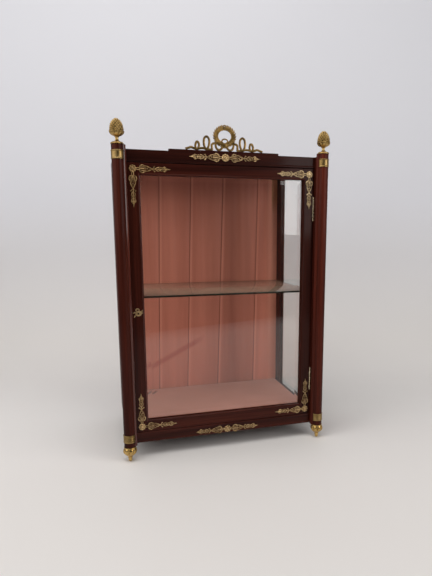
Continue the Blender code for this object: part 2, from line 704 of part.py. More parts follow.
def make_door():
    """Door frame, bevelled pane and the beads that hold it."""
    depth = (0, DOOR_THICKNESS)
    rebate_x = grow((-SIGHT_HALF, SIGHT_HALF), REBATE_WIDTH)
    rebate_z = grow((SIGHT_BOTTOM, SIGHT_TOP), REBATE_WIDTH)
    rebate = cutter_box("glass_rebate", rebate_x, (REBATE_FRONT, DOOR_THICKNESS + FIT), rebate_z, DOOR)
    stiles = {}
    for label, side in SIDES.items():
        stile_x = mirrored(side, SIGHT_HALF, DOOR_HALF)
        stile = box("door_stile_" + label, stile_x, depth, (DOOR_BOTTOM, DOOR_TOP), parent=DOOR)
        stiles[label] = cut(stile, rebate)
    rail_x = (FIT - SIGHT_HALF, SIGHT_HALF - FIT)
    cut(box("door_top_rail", rail_x, depth, (SIGHT_TOP, DOOR_TOP), parent=DOOR), rebate)
    cut(box("door_bottom_rail", rail_x, depth, (DOOR_BOTTOM, SIGHT_BOTTOM), parent=DOOR), rebate)

    pane_x = grow(rebate_x, -FIT)
    pane_z = grow(rebate_z, -FIT)
    pane_y = (REBATE_FRONT + FIT, REBATE_FRONT + FIT + DOOR_GLASS_THICKNESS)
    bevel_front(box("door_glass", pane_x, pane_y, pane_z, GLASS, DOOR))
    bead_y = (pane_y[1] + FIT, pane_y[1] + FIT + BEAD_STRIP_THICKNESS)
    for label, side in SIDES.items():
        box("glazing_bead_" + label, mirrored(side, SIGHT_HALF, pane_x[1]), bead_y, pane_z, parent=DOOR)
    box("glazing_bead_top", rail_x, bead_y, (SIGHT_TOP, pane_z[1]), parent=DOOR)
    box("glazing_bead_bottom", rail_x, bead_y, (pane_z[0], SIGHT_BOTTOM), parent=DOOR)
    return stiles


def bevel_front(pane):
    """Grind a wide, shallow bevel round the front face of a pane."""
    work = bmesh.new()
    work.from_mesh(pane.data)
    front = min(work.faces, key=lambda face: face.calc_center_median().y)
    corners = list(front.verts)
    bmesh.ops.inset_individual(work, faces=[front], thickness=GLASS_BEVEL_WIDTH)
    for corner in corners:
        corner.co.y += DOOR_GLASS_THICKNESS - DOOR_GLASS_EDGE
    work.to_mesh(pane.data)
    work.free()


def make_hinges(post, stile):
    """Butt hinges: the outer knuckles are on the post, the middle one on the door."""
    mortise_y = (HINGE_Y - HINGE_WEB, LEAF_WIDTH + FIT)
    post_leaf_x = (POST_INNER, POST_INNER + LEAF_THICKNESS)
    door_leaf_x = (DOOR_HALF - LEAF_THICKNESS, DOOR_HALF)
    outer = HINGE_LENGTH * (1 - KNUCKLE_SHARE) / 2
    for label, centre in HINGE_CENTRES.items():
        span = (centre - HINGE_LENGTH / 2, centre + HINGE_LENGTH / 2)
        spans = {
            "top": (span[1] - outer, span[1]),
            "middle": (span[0] + outer + FIT, span[1] - outer - FIT),
            "bottom": (span[0], span[0] + outer),
        }
        cut(post, cutter_box("post_mortise_" + label, grow(post_leaf_x, FIT), mortise_y, grow(span, FIT)))
        cut(stile, cutter_box("door_mortise_" + label, grow(door_leaf_x, FIT), (-FIT, LEAF_WIDTH + FIT),
                              grow(span, FIT), DOOR))
        bore = cutter_rod(
            "hinge_bore_" + label, "Z", (HINGE_X, HINGE_Y, centre), BORE_RADIUS, HINGE_LENGTH + 4 * FIT
        )
        web_y = (HINGE_Y - HINGE_WEB / 2, HINGE_Y + HINGE_WEB / 2)
        post_leaf = box("hinge_post_leaf_" + label, post_leaf_x, (web_y[0], LEAF_WIDTH), span, BRASS)
        for place in ("top", "bottom"):
            web_x = (HINGE_X, post_leaf_x[1])
            join(post_leaf, *knuckle(label + "_" + place, spans[place], web_x, web_y, CASE))
        cut(post_leaf, bore)
        door_leaf = box("hinge_door_leaf_" + label, door_leaf_x, (0, LEAF_WIDTH), span, BRASS, DOOR)
        door_web = (HINGE_Y, HINGE_WEB)
        join(door_leaf, *knuckle(label + "_middle", spans["middle"], (HINGE_X, DOOR_HALF), door_web, DOOR))
        cut(door_leaf, bore)
        rod("hinge_pin_" + label, "Z", (HINGE_X, HINGE_Y, centre), PIN_RADIUS, HINGE_LENGTH)


def knuckle(label, span, web_x, web_y, parent):
    """A barrel and the web that ties it to its leaf."""
    centre = (HINGE_X, HINGE_Y, (span[0] + span[1]) / 2)
    barrel = rod("knuckle_" + label, "Z", centre, BARREL_RADIUS, span[1] - span[0], None, parent)
    web = box("knuckle_web_" + label, web_x, web_y, span, None, parent)
    return barrel, web


def make_lock(post, stile):
    """Rim lock let into the back of the free stile, with its bolt and striking plate."""
    case_x = (FIT - DOOR_HALF, FIT - DOOR_HALF + LOCK_CASE_WIDTH)
    case_y = (LOCK_CASE_FRONT, LOCK_CASE_FRONT + LOCK_CASE_DEPTH)
    case_z = (LOCK_HEIGHT - LOCK_CASE_LENGTH / 2, LOCK_HEIGHT + LOCK_CASE_LENGTH / 2)
    pocket_y = (case_y[0] - FIT, DOOR_THICKNESS + FIT)
    cut(stile, cutter_box("lock_pocket", grow(case_x, 2 * FIT), pocket_y, grow(case_z, FIT), DOOR))
    keyhole = (KEYHOLE_X, LOCK_CASE_FRONT / 2, LOCK_HEIGHT)
    cut(stile, cutter_rod("keyhole_in_stile", "Y", keyhole, KEYHOLE_RADIUS, 2 * LOCK_CASE_FRONT, DOOR))

    bolt_x = (BOLT_SET_BACK - DOOR_HALF, BOLT_SET_BACK - DOOR_HALF + BOLT_LENGTH)
    bolt_y = (BOLT_Y - BOLT_DEPTH / 2, BOLT_Y + BOLT_DEPTH / 2)
    bolt_z = (LOCK_HEIGHT - BOLT_WIDTH / 2, LOCK_HEIGHT + BOLT_WIDTH / 2)
    channel_x = (case_x[0] - FIT, bolt_x[1] + SLIDE_FIT)
    channel = cutter_box("bolt_channel", channel_x, grow(bolt_y, SLIDE_FIT), grow(bolt_z, SLIDE_FIT), DOOR)
    cut(box("lock_case", case_x, case_y, case_z, BRASS, DOOR), channel)
    box("lock_bolt", bolt_x, bolt_y, bolt_z, STEEL, BOLT)

    strike_x = (-POST_INNER - STRIKE_THICKNESS, -POST_INNER)
    strike_y = (BOLT_Y - STRIKE_WIDTH / 2, BOLT_Y + STRIKE_WIDTH / 2)
    strike_z = (LOCK_HEIGHT - STRIKE_LENGTH / 2, LOCK_HEIGHT + STRIKE_LENGTH / 2)
    reach_x = (-DOOR_HALF + BOLT_SET_BACK - BOLT_THROW - 2 * SLIDE_FIT, -POST_INNER + FIT)
    socket = cutter_box("bolt_socket", reach_x, grow(bolt_y, SLIDE_FIT), grow(bolt_z, SLIDE_FIT))
    cut(box("strike_plate", strike_x, strike_y, strike_z, BRASS), socket)
    mortise = cutter_box("strike_mortise", grow(strike_x, FIT), grow(strike_y, FIT), grow(strike_z, FIT))
    cut(post, socket, mortise)


def spindle(shape, length, both_ways=False):
    """Outline of a leafy arm that lies along +X, or along +X and -X."""
    upper = [(share * length, width * LEAF_REACH) for share, width in shape]
    if both_ways:
        upper = [(-across, width) for across, width in reversed(upper[1:])] + upper
    return upper + [(across, -width) for across, width in reversed(upper)]


def rosette(name, radius, relief, parent, point):
    """A domed flower head that faces the front."""
    profile = [(share * radius, rise * relief) for share, rise in ROSETTE_PROFILE]
    head = as_mesh(turned(name, profile, None, parent, point, steps=16), name)
    head.data.transform(FACE_FRONT)
    return head


def make_corner_mounts():
    """Two leafy arms and a rosette at each corner of the door."""
    face = -FIT - MOUNT_THICKNESS / 2
    corners = {"upper": (DOOR_TOP - CORNER_INSET_TOP, -1), "lower": (DOOR_BOTTOM + CORNER_INSET_BOTTOM, 1)}
    for label, side in SIDES.items():
        across = side * (DOOR_HALF - CORNER_INSET_X)
        for place, (height, up) in corners.items():
            name = "corner_mount_%s_%s" % (place, label)
            arm = spindle(ARM_SHAPE, CORNER_ARM_LENGTH)
            lying = [(-side * along, width) for along, width in arm]
            standing = [(width, up * along) for along, width in arm]
            mount = plate(name, lying, MOUNT_THICKNESS, FACE_FRONT, GILT, DOOR, (across, face, height))
            thin = MOUNT_THICKNESS - 2 * JOIN_INSET
            other = plate(name + "_arm", standing, thin, FACE_FRONT, None, DOOR, (across, face, height))
            seat_point = (across, -FIT - JOIN_INSET / 2, height)
            head = rosette(name + "_head", CORNER_ROSETTE_RADIUS, CORNER_ROSETTE_RELIEF, DOOR, seat_point)
            join(mount, other, head)


def make_rail_mounts():
    face = -FIT - MOUNT_THICKNESS / 2
    plain_top = CASE_TOP - TOP_RAIL_HEIGHT + BEAD_HEIGHT
    plain_bottom = CASE_BOTTOM + BOTTOM_RAIL_HEIGHT - BEAD_HEIGHT
    places = {
        "top_rail_mount": (TOP_MOUNT_LENGTH, (plain_top + CASE_TOP) / 2),
        "bottom_rail_mount": (BOTTOM_MOUNT_LENGTH, (plain_bottom + CASE_BOTTOM) / 2),
    }
    for name, (length, height) in places.items():
        outline = spindle(RAIL_SHAPE, length / 2, both_ways=True)
        mount = plate(name, outline, MOUNT_THICKNESS, FACE_FRONT, GILT, CASE, (0, face, height))
        seat_point = (0, -FIT - JOIN_INSET / 2, height)
        join(mount, rosette(name + "_head", RAIL_ROSETTE_RADIUS, RAIL_ROSETTE_RELIEF, CASE, seat_point))


def make_escutcheon():
    """Oval boss with two ribbon ends round the keyhole."""
    face = -FIT - MOUNT_THICKNESS / 2
    reach, round_ = ESCUTCHEON_LENGTH / 2, ESCUTCHEON_RADIUS
    quarter = [
        (reach, 0.85 * round_), (0.93 * reach, 0.35 * round_), (0.98 * reach, -0.15 * round_),
        (0.72 * reach, 0.05 * round_), (0.52 * reach, -0.55 * round_), (0.25 * reach, -0.95 * round_),
    ]
    half_turn = [(-across, -up) for across, up in quarter]
    centre = (KEYHOLE_X, face, LOCK_HEIGHT)
    shape = plate("escutcheon", quarter + half_turn, MOUNT_THICKNESS, FACE_FRONT, GILT, DOOR, centre)
    cut(shape, cutter_rod("keyhole", "Y", centre, KEYHOLE_RADIUS, 4 * MOUNT_THICKNESS, DOOR))


def make_crest():
    """Laurel wreath tied with a looped ribbon, standing on its plinth."""
    base = CASE_TOP + PLINTH_HEIGHT + FIT
    depth = PLINTH_DEPTH / 2
    origin = (0, depth, base)
    bpy.ops.mesh.primitive_torus_add(
        major_segments=28, minor_segments=8, major_radius=WREATH_RADIUS_X, minor_radius=WREATH_BAND
    )
    wreath = bpy.context.object
    wreath.name = "wreath_crest"
    for collection in list(wreath.users_collection):
        collection.objects.unlink(wreath)
    flatten = Matrix.Diagonal((1, WREATH_DEPTH / WREATH_BAND, WREATH_RADIUS_Z / WREATH_RADIUS_X, 1))
    wreath.data.transform(Matrix.Translation((0, 0, WREATH_HEIGHT)) @ flatten @ FACE_FRONT)
    smooth(seat(wreath, GILT, CASE, origin))

    knot = [(KNOT_RADIUS * math.cos(turn), KNOT_HEIGHT + KNOT_RADIUS * math.sin(turn))
            for turn in (math.tau * step / 8 for step in range(8))]
    join(wreath, strand("crest_knot", knot, RIBBON_RADIUS, None, CASE, origin, closed=True, steps=2))
    for label, side in SIDES.items():
        for stroke, (weave, points, closed) in RIBBON_STROKES.items():
            placed = [(side * across * CREST_REACH, up * CREST_RISE) for across, up in points]
            point = (0, depth + weave * RIBBON_RADIUS, base)
            name = "crest_%s_%s" % (stroke, label)
            join(wreath, strand(name, placed, RIBBON_RADIUS, None, CASE, point, closed))


front_posts = make_posts_and_columns()
make_sides()
make_front_rails()
make_boards()
make_inside()
door_stiles = make_door()
make_hinges(front_posts["right"], door_stiles["right"])
make_lock(front_posts["left"], door_stiles["left"])
make_corner_mounts()
make_rail_mounts()
make_escutcheon()
make_crest()
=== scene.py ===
# %% [markdown]
# # Dressing a glazed wall cabinet
# The cabinet is polished mahogany with gilt bronze mounts, a bevelled glass door and a pink silk back.
# Its plain solids come in as a fixed frame. This lesson gives each of them a finish, and models again the
# pieces that carry ornament or cloth: columns, collars, cones, feet, mounts, wreath, silk and floor pad.

# %% Load the frame
from math import atan2, cos, degrees, exp, hypot, pi, radians, sin, tau

import bpy
from mathutils import Matrix, Vector


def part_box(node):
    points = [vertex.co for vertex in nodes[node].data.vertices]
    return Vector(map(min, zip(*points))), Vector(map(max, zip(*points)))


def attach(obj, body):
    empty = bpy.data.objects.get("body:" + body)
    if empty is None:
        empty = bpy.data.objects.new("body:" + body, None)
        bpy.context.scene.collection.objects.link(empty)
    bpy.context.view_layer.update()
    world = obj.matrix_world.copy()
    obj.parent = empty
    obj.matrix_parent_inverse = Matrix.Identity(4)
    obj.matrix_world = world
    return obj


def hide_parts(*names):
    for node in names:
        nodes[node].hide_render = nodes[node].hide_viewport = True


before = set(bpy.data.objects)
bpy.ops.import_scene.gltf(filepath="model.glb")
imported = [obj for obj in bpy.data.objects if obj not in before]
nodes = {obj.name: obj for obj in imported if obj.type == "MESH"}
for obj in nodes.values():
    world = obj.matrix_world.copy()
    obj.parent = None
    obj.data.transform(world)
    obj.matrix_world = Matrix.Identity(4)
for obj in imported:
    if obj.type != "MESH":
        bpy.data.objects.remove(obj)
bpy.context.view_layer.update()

# %% [markdown]
# Everything on the cabinet is measured in millimetres from two easy places: the front face of the door and
# the tips of the feet. One small helper turns such a measure into the frame's metres. Working in the maker's
# own measures keeps the numbers readable, and a piece always lands where the solid is.

# %% Measures
MM = 0.001
DOOR_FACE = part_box("door_stile_left")[0][1]
FOOT_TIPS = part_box("drop_foot_left")[0][2]
SIDES = {"left": -1, "right": 1}


def at(across, behind, up):
    """A point in millimetres from the middle, the door's face and the foot tips, in the frame's metres."""
    return Vector((across * MM, DOOR_FACE + behind * MM, FOOT_TIPS + up * MM))


print("door face y %.4f, foot tips z %.4f" % (DOOR_FACE, FOOT_TIPS))

# %% [markdown]
# The camera stands a little to the left of the cabinet and looks slightly down, as a person taking a picture
# of a thing on a table does. Its turn is built from three simple turns. A small shift frames the cabinet off
# the middle of the picture, which keeps the uprights where the lens puts them.

# %% Camera
scene = bpy.context.scene
CAMERA_YAW = -17.2612
CAMERA_PITCH = -9.896
CAMERA_ROLL = -0.131
CAMERA_PLACE = Vector((-0.3084, -1.5442, 0.1834))


def turn(axis, angle):
    """A turn about one of the three axes, in degrees."""
    return Matrix.Rotation(radians(angle), 4, axis)


aim = turn("Z", CAMERA_YAW) @ turn("X", CAMERA_PITCH) @ turn("Y", CAMERA_ROLL)
lens = bpy.data.cameras.new("camera")
lens.lens = 31.25
lens.sensor_width = 36.0
lens.shift_x = -0.0655
lens.shift_y = 0.0448
camera = bpy.data.objects.new("camera", lens)
scene.collection.objects.link(camera)
camera.matrix_world = Matrix.Translation(CAMERA_PLACE) @ aim @ turn("X", 90)
scene.camera = camera
print("camera at", tuple(round(c, 3) for c in CAMERA_PLACE))

# %% [markdown]
# A material is a small net of nodes. Writing it as sums and products is easier to read than wiring, so one
# class wraps a node's output and lets Python's operators add Math nodes. A second class holds one material
# and has a single method that makes any node, from the values or links of its sockets and its settings.

# %% Shader helpers
class Wire:
    """One output of a node. Sums and products of wires add Math nodes."""

    def __init__(self, finish, socket):
        self.finish, self.socket = finish, socket

    def __add__(self, other):
        return self.finish.math("ADD", self, other)

    def __sub__(self, other):
        return self.finish.math("SUBTRACT", self, other)

    def __rsub__(self, other):
        return self.finish.math("SUBTRACT", other, self)

    def __mul__(self, other):
        return self.finish.math("MULTIPLY", self, other)


class Finish:
    """One material and the nodes in it."""

    def __init__(self, name):
        self.material = bpy.data.materials.new(name)
        self.material.use_nodes = True
        self.tree = self.material.node_tree
        self.tree.nodes.clear()

    def node(self, kind, sockets=None, out=0, **settings):
        """Adds any node, fills or links its sockets, and gives back one of its outputs."""
        made = self.tree.nodes.new("ShaderNode" + kind)
        for key, value in settings.items():
            setattr(made, key, value)
        for key, value in (sockets or {}).items():
            if isinstance(value, Wire):
                self.tree.links.new(value.socket, made.inputs[key])
            else:
                made.inputs[key].default_value = value
        return Wire(self, made.outputs[out])

    def math(self, operation, first, second=0.0):
        return self.node("Math", {0: first, 1: second}, operation=operation)

    def mix(self, share, first, second, how="MIX"):
        """Goes from one colour to another as share goes from 0 to 1, or blends them in another way."""
        first, second = (c if isinstance(c, Wire) else (*c, 1.0) for c in (first, second))
        return self.node("Mix", {0: share, 6: first, 7: second}, 2, data_type="RGBA", blend_type=how)

    def ramp(self, value, *stops):
        """Colours for a value: the stops at both ends first, then those between them."""
        colours = self.node("ValToRGB", {0: value})
        elements = colours.socket.node.color_ramp.elements
        for element, (place, colour) in zip(elements, stops):
            element.position, element.color = place, (*colour, 1.0)
        for place, colour in stops[2:]:
            elements.new(place).color = (*colour, 1.0)
        return colours

    def step(self, value, low, high, first=0.0, last=1.0):
        """Runs from first to last while the value runs from low to high."""
        return self.node("MapRange", {0: value, 1: low, 2: high, 3: first, 4: last})

    def place(self, scale=(1, 1, 1), turned=(0, 0, 0)):
        """Where a point lies on the piece, stretched and turned for a pattern."""
        point = self.node("TexCoord", None, "Object")
        return self.node("Mapping", {"Vector": point, "Scale": scale, "Rotation": turned})

    def coordinate(self, axis, turned=(0, 0, 0)):
        """How far a point lies along one axis, in metres."""
        return self.node("SeparateXYZ", {"Vector": self.place(turned=turned)}, axis)

    def noise(self, scale, detail, rough=0.5, twist=0.0):
        """Soft cloudy values, with scale in clouds per metre along each axis."""
        return self.node("TexNoise", {"Vector": self.place(scale), "Scale": 1.0, "Detail": detail,
                                            "Roughness": rough, "Distortion": twist})

    def bump(self, height, strength, distance):
        return self.node("Bump", {"Height": height, "Strength": strength, "Distance": distance})

    def close(self, shader):
        """Wires the shader to the output and gives back the material."""
        output = self.tree.nodes.new("ShaderNodeOutputMaterial")
        self.tree.links.new(shader.socket, output.inputs["Surface"])
        return self.material

    def surface(self, sockets):
        """Ends a finish that is one plain surface."""
        return self.close(self.node("BsdfPrincipled", sockets))


print("shader helpers ready")

# %% [markdown]
# The stage is one white sheet: a table top that runs back and sweeps up into a wall, so that no hard line
# shows behind the cabinet. It is a plane whose far edge is pulled up, and the fold is bevelled into a wide
# round. It is turned to face the camera and ends below it, as a table does, so the glass of the door mirrors
# a dark room above a pale table.

# %% Stage
TABLE_WIDE, TABLE_FRONT, TABLE_BACK = 6.0, -0.20, 2.28
WALL_HIGH, SWEEP = 2.6, 0.45


def alone(*objs):
    """Selects only these objects, and makes the first one active."""
    bpy.ops.object.select_all(action="DESELECT")
    for obj in objs:
        obj.select_set(True)
    bpy.context.view_layer.objects.active = objs[0]


def primitive(add, **settings):
    """A fresh primitive, made by its operator."""
    bpy.ops.object.select_all(action="DESELECT")
    add(**settings)
    return bpy.context.object


def on_edges(obj, test, operator, **settings):
    """Runs a mesh operator on the edges whose middle passes the test."""
    alone(obj)
    bpy.ops.object.mode_set(mode="EDIT")
    bpy.ops.mesh.select_mode(type="EDGE")
    bpy.ops.mesh.select_all(action="DESELECT")
    bpy.ops.object.mode_set(mode="OBJECT")
    points = obj.data.vertices
    for edge in obj.data.edges:
        edge.select = test((points[edge.vertices[0]].co + points[edge.vertices[1]].co) / 2)
    bpy.ops.object.mode_set(mode="EDIT")
    operator(**settings)
    bpy.ops.object.mode_set(mode="OBJECT")


stage = primitive(bpy.ops.mesh.primitive_plane_add, size=1.0)
stage.name = "table_and_wall"
stage.data.transform(Matrix.Translation((0, (TABLE_FRONT + TABLE_BACK) / 2, 0)) @
                     Matrix.Diagonal((TABLE_WIDE, TABLE_BACK - TABLE_FRONT, 1, 1)))
far = TABLE_BACK - 0.01
on_edges(stage, lambda middle: middle.y > far, bpy.ops.mesh.extrude_region_move,
         TRANSFORM_OT_translate={"value": (0, 0, WALL_HIGH)})
on_edges(stage, lambda middle: middle.y > far and middle.z < 0.01, bpy.ops.mesh.bevel,
         offset=SWEEP, segments=24)
below_camera = Matrix.Translation((CAMERA_PLACE.x, CAMERA_PLACE.y, FOOT_TIPS))
stage.data.transform(below_camera @ turn("Z", CAMERA_YAW))
alone(stage)
bpy.ops.object.shade_smooth()
print("stage faces:", len(stage.data.polygons))

# %% [markdown]
# The paper is warm white on the table and a little cooler up the wall. Its front edge is painted grey, a
# painted shade, so that the mirrored table fades out softly. It has one side only: from behind and from below
# it is clear, so that the cabinet can be walked round.

# %% Paper of the stage
paper = Finish("white_paper")
cloud = paper.noise((1.4, 1.4, 1.4), 2)
tone = paper.mix(cloud, (0.76, 0.735, 0.715), (0.79, 0.77, 0.755))
tone = paper.mix(paper.step(paper.coordinate("Z"), -0.30, 0.30), tone, (0.752, 0.760, 0.808))
away = paper.coordinate("Y", (0, 0, radians(-CAMERA_YAW)))
standpoint = (turn("Z", -CAMERA_YAW) @ CAMERA_PLACE).y
# painted shade: the paper goes grey towards its front edge
painted_shade_front_edge = paper.step(away, standpoint + 0.03, standpoint + TABLE_FRONT)
tone = paper.mix(painted_shade_front_edge, tone, (0.26, 0.25, 0.25))
sheet_front = paper.node("BsdfPrincipled", {
    "Base Color": tone, "Roughness": paper.step(cloud, 0.3, 0.7, 0.55, 0.7), "Specular IOR Level": 0.1})
sheet_back = paper.node("BsdfTransparent")
back_side = paper.node("NewGeometry", None, "Backfacing")
one_sided = paper.node("MixShader", {0: back_side, 1: sheet_front, 2: sheet_back})
stage.data.materials.append(paper.close(one_sided))
print("paper nodes:", len(paper.tree.nodes))

# %% [markdown]
# Studio light is soft and comes from large lamps. One wide lamp stands at the left and a weaker one at the
# right, so that each round column gets a long pale line, and one hangs above. Both panels start at the
# height of the camera, so their mirror images in upright polish and glass end half way up. The right one
# shows in the glass of the door. The world is almost dark, which keeps the polish from turning grey.

# %% Lights
LAMP_COLOUR = (1.0, 0.98, 0.96)
LAMPS = (  # name, place, target, width and height in metres, power in watts
    ("left_panel", (-2.1, -0.7, 1.15), (0, -0.3, 1.15), 2.4, 2.0, 26),
    ("right_panel", (1.68, -2.0, 0.724), (0.02, -0.3, 0.724), 1.8, 1.2, 20),
    ("top_panel", (-0.35, -0.95, 2.1), (-0.1, -0.6, -0.4), 2.2, 1.6, 39),
    ("front_soft_box", (-1.25, -2.2, 1.05), (0, -0.1, 0.0), 1.4, 1.2, 5),
)
WORLD_COLOUR, WORLD_STRENGTH = (0.80, 0.80, 0.82, 1), 0.035


def soft_lamp(name, place, target, width, height, power):
    """A rectangular soft box that looks at a target."""
    lamp = bpy.data.lights.new(name, "AREA")
    lamp.shape, lamp.size, lamp.size_y = "RECTANGLE", width, height
    lamp.energy, lamp.color = power, LAMP_COLOUR
    obj = bpy.data.objects.new(name, lamp)
    scene.collection.objects.link(obj)
    way = (Vector(target) - Vector(place)).to_track_quat("-Z", "Y")
    obj.matrix_world = Matrix.Translation(place) @ way.to_matrix().to_4x4()


for lamp in LAMPS:
    soft_lamp(*lamp)
studio = bpy.data.worlds.new("studio")
scene.world = studio
studio.use_nodes = True
sky = studio.node_tree.nodes["Background"].inputs
sky["Color"].default_value, sky["Strength"].default_value = WORLD_COLOUR, WORLD_STRENGTH
scene.view_settings.view_transform = "Standard"

# %% [markdown]
# Mahogany is red brown with long darker streaks and short open pores, all running along the board. Each
# pattern is noise that is stretched along the grain. French polish lies on it as a clear coat. The boards of
# a case run in different directions, so one function makes the finish for a grain along x, y or z.

# %% Mahogany
GRAIN = ((0.30, (0.018, 0.0034, 0.0020)), (0.70, (0.098, 0.0190, 0.0095)), (0.50, (0.050, 0.0088, 0.0048)))


def mahogany(name, along, light, polish, gloss=1.5):
    """Polished red-brown wood with its grain along axis 0, 1 or 2."""
    wood = Finish(name)

    def stretched(across, length):
        return [length if axis == along else across for axis in range(3)]

    figure = wood.noise(stretched(34, 1.6), 4, 0.55, 0.9)
    streak = wood.noise(stretched(230, 3.5), 3, 0.6, 0.3)
    pore = wood.step(wood.noise(stretched(1500, 26), 2, 0.6), 0.60, 0.72)
    stops = [(place, [part * light for part in colour]) for place, colour in GRAIN]
    tone = wood.ramp(figure * 0.62 + streak * 0.38, *stops)
    tone = wood.mix(pore * 0.6, tone, (0.008, 0.002, 0.0015))
    rough = wood.step(figure, 0.3, 0.7, 0.34, 0.44) + pore * 0.1
    relief = wood.bump(streak * 0.4 - pore, 0.10, 0.0002)
    return wood.surface({
        "Base Color": tone, "Roughness": rough, "Normal": relief, "Specular IOR Level": 0.07,
        "Coat Weight": wood.step(streak, 0.2, 0.8, polish, polish * 0.8), "Coat Roughness": 0.10,
        "Coat IOR": gloss})


# painted light and painted shade: the right column's wood is lighter, and the dark woods of the right door
# stile, its bead and the top rail are darker copies of the same mahogany
WOODS = {  # axis of the grain, lightness, amount of polish and, for the rubbed edge, its gloss
    "upright": (2, 0.9, 0.15),
    "level": (0, 0.8, 0.15),
    "deep": (1, 1.0, 0.35),
    "column_left": (2, 0.95, 0.05),
    "column_right": (2, 1.6, 0.05),
    "back": (2, 1.7, 0.05),
    "rubbed_and_lit_edge": (2, 1.5, 0.9, 1.55),
    "dark": (2, 0.5, 0.15),
    "shaded_level": (0, 0.45, 0.17),
}
woods = {name: mahogany("mahogany_" + name, *values) for name, values in WOODS.items()}
print("woods:", len(woods))

# %% [markdown]
# The flat timbers keep the shape of their solids. Real edges are never sharp: a live Weld joins the loose
# triangles, a small Bevel rounds the edges so that they catch light, and a Weighted Normal keeps the flats
# flat. The board behind the silk is only stained, not polished.

# %% Flat timbers
def dress(node, material, edge=0.6):
    """Gives a solid its finish and softens its edges."""
    obj = nodes[node]
    obj.data.materials.clear()
    obj.data.materials.append(material)
    if edge:
        obj.modifiers.new("weld", "WELD").merge_threshold = 1e-5
        round_edge = obj.modifiers.new("round_edge", "BEVEL")
        round_edge.width, round_edge.segments = edge * MM, 2
        round_edge.limit_method, round_edge.angle_limit = "ANGLE", radians(50)
        round_edge.use_clamp_overlap = True
        flats = obj.modifiers.new("flats", "WEIGHTED_NORMAL")
        flats.keep_sharp = True
        obj.data.polygons.foreach_set("use_smooth", [True] * len(obj.data.polygons))


for side in SIDES:
    for name in ("front_post_", "back_post_", "door_stile_", "glazing_bead_"):
        dress(name + side, woods["upright"])
    for name in ("side_top_rail_", "side_bottom_rail_"):
        dress(name + side, woods["deep"])
for name in ("top_rail", "bottom_rail", "door_top_rail", "door_bottom_rail", "glazing_bead_top",
             "glazing_bead_bottom", "top_board", "bottom_board"):
    dress(name, woods["level"])
dress("back_panel", woods["back"])
# painted shade: the right door stile and the top rail get darker copies of the wood
nodes["door_stile_right"].data.materials[0] = woods["dark"]
nodes["top_rail"].data.materials[0] = woods["shaded_level"]
print("timbers dressed:", sum(any(m.type == "BEVEL" for m in o.modifiers) for o in nodes.values()))

# %% [markdown]
# Gilt bronze is gold on a cast metal that is never quite even: bright where hands and cloths have rubbed it,
# brown in the hollows, partly from old wax and partly as painted shade. The hollows come from the Ambient
# Occlusion node, which finds places that the piece itself shades. Brass fittings are plainer, and steel is
# grey and brushed.

# %% Metals
def cast_metal(name, bright, dull, dirt_and_shade, rough, hollow=0.006, patch=60):
    """A metal that is bright on its high places and dark in its hollows."""
    metal = Finish(name)
    cloud = metal.noise((patch, patch, patch), 4, 0.6)
    grain = metal.noise((900, 900, 900), 2, 0.6)
    open_sky = metal.node("AmbientOcclusion", {"Distance": hollow}, "AO", samples=6, only_local=True)
    tone = metal.mix(metal.step(cloud, 0.35, 0.65), dull, bright)
    # old wax and painted shade: the hollows that Ambient Occlusion finds are darkened
    tone = metal.mix(metal.step(open_sky, 0.25, 0.85), dirt_and_shade, tone)
    return metal.surface({
        "Base Color": tone, "Metallic": 1.0, "Normal": metal.bump(grain + cloud * 0.5, 0.12, 0.0003),
        "Roughness": metal.step(cloud, 0.3, 0.7, rough, rough + 0.12) + (1 - open_sky) * 0.15})


# the dirty colour is that of the hollows: partly old wax, partly painted shade
METALS = {  # bright, dull and dirty colour, roughness, reach of the hollows, patches in a metre
    "gilt_bronze": ((0.35, 0.240, 0.100), (0.24, 0.155, 0.055), (0.05, 0.025, 0.007), 0.27),
    "gilt_bronze_leaf": ((0.62, 0.425, 0.165), (0.29, 0.178, 0.056), (0.018, 0.009, 0.003), 0.24, 0.005),
    # a near-black gilt: painted shade for the core between the cone's scales
    "gilt_bronze_shade_core": ((0.09, 0.050, 0.014), (0.05, 0.028, 0.008), (0.014, 0.007, 0.003), 0.45, 0.005),
    "gilt_bronze_polished": ((0.72, 0.50, 0.19), (0.46, 0.29, 0.09), (0.016, 0.008, 0.003), 0.17, 0.005),
    "gilt_bronze_dark": ((0.42, 0.260, 0.085), (0.15, 0.092, 0.032), (0.012, 0.006, 0.003), 0.28, 0.006, 110),
    "gilt_bronze_worn": ((0.78, 0.55, 0.29), (0.25, 0.150, 0.062), (0.010, 0.005, 0.002), 0.28, 0.004, 300),
    # painted shade and painted light: a darker and a brighter copy of the mount gilt for the two upper corners
    "gilt_bronze_shaded": ((0.47, 0.31, 0.145), (0.16, 0.094, 0.036), (0.010, 0.005, 0.002), 0.30, 0.004, 300),
    "gilt_bronze_lit": ((0.95, 0.76, 0.46), (0.45, 0.300, 0.150), (0.010, 0.005, 0.002), 0.42, 0.004, 300),
    "brass_polished": ((0.75, 0.66, 0.48), (0.62, 0.50, 0.30), (0.10, 0.06, 0.02), 0.20),
    "steel_brushed": ((0.47, 0.46, 0.44), (0.36, 0.35, 0.34), (0.08, 0.07, 0.06), 0.34),
}
metals = {name: cast_metal(name, *values) for name, values in METALS.items()}
brass, steel = metals["brass_polished"], metals["steel_brushed"]
worn_gilt = metals["gilt_bronze_worn"]

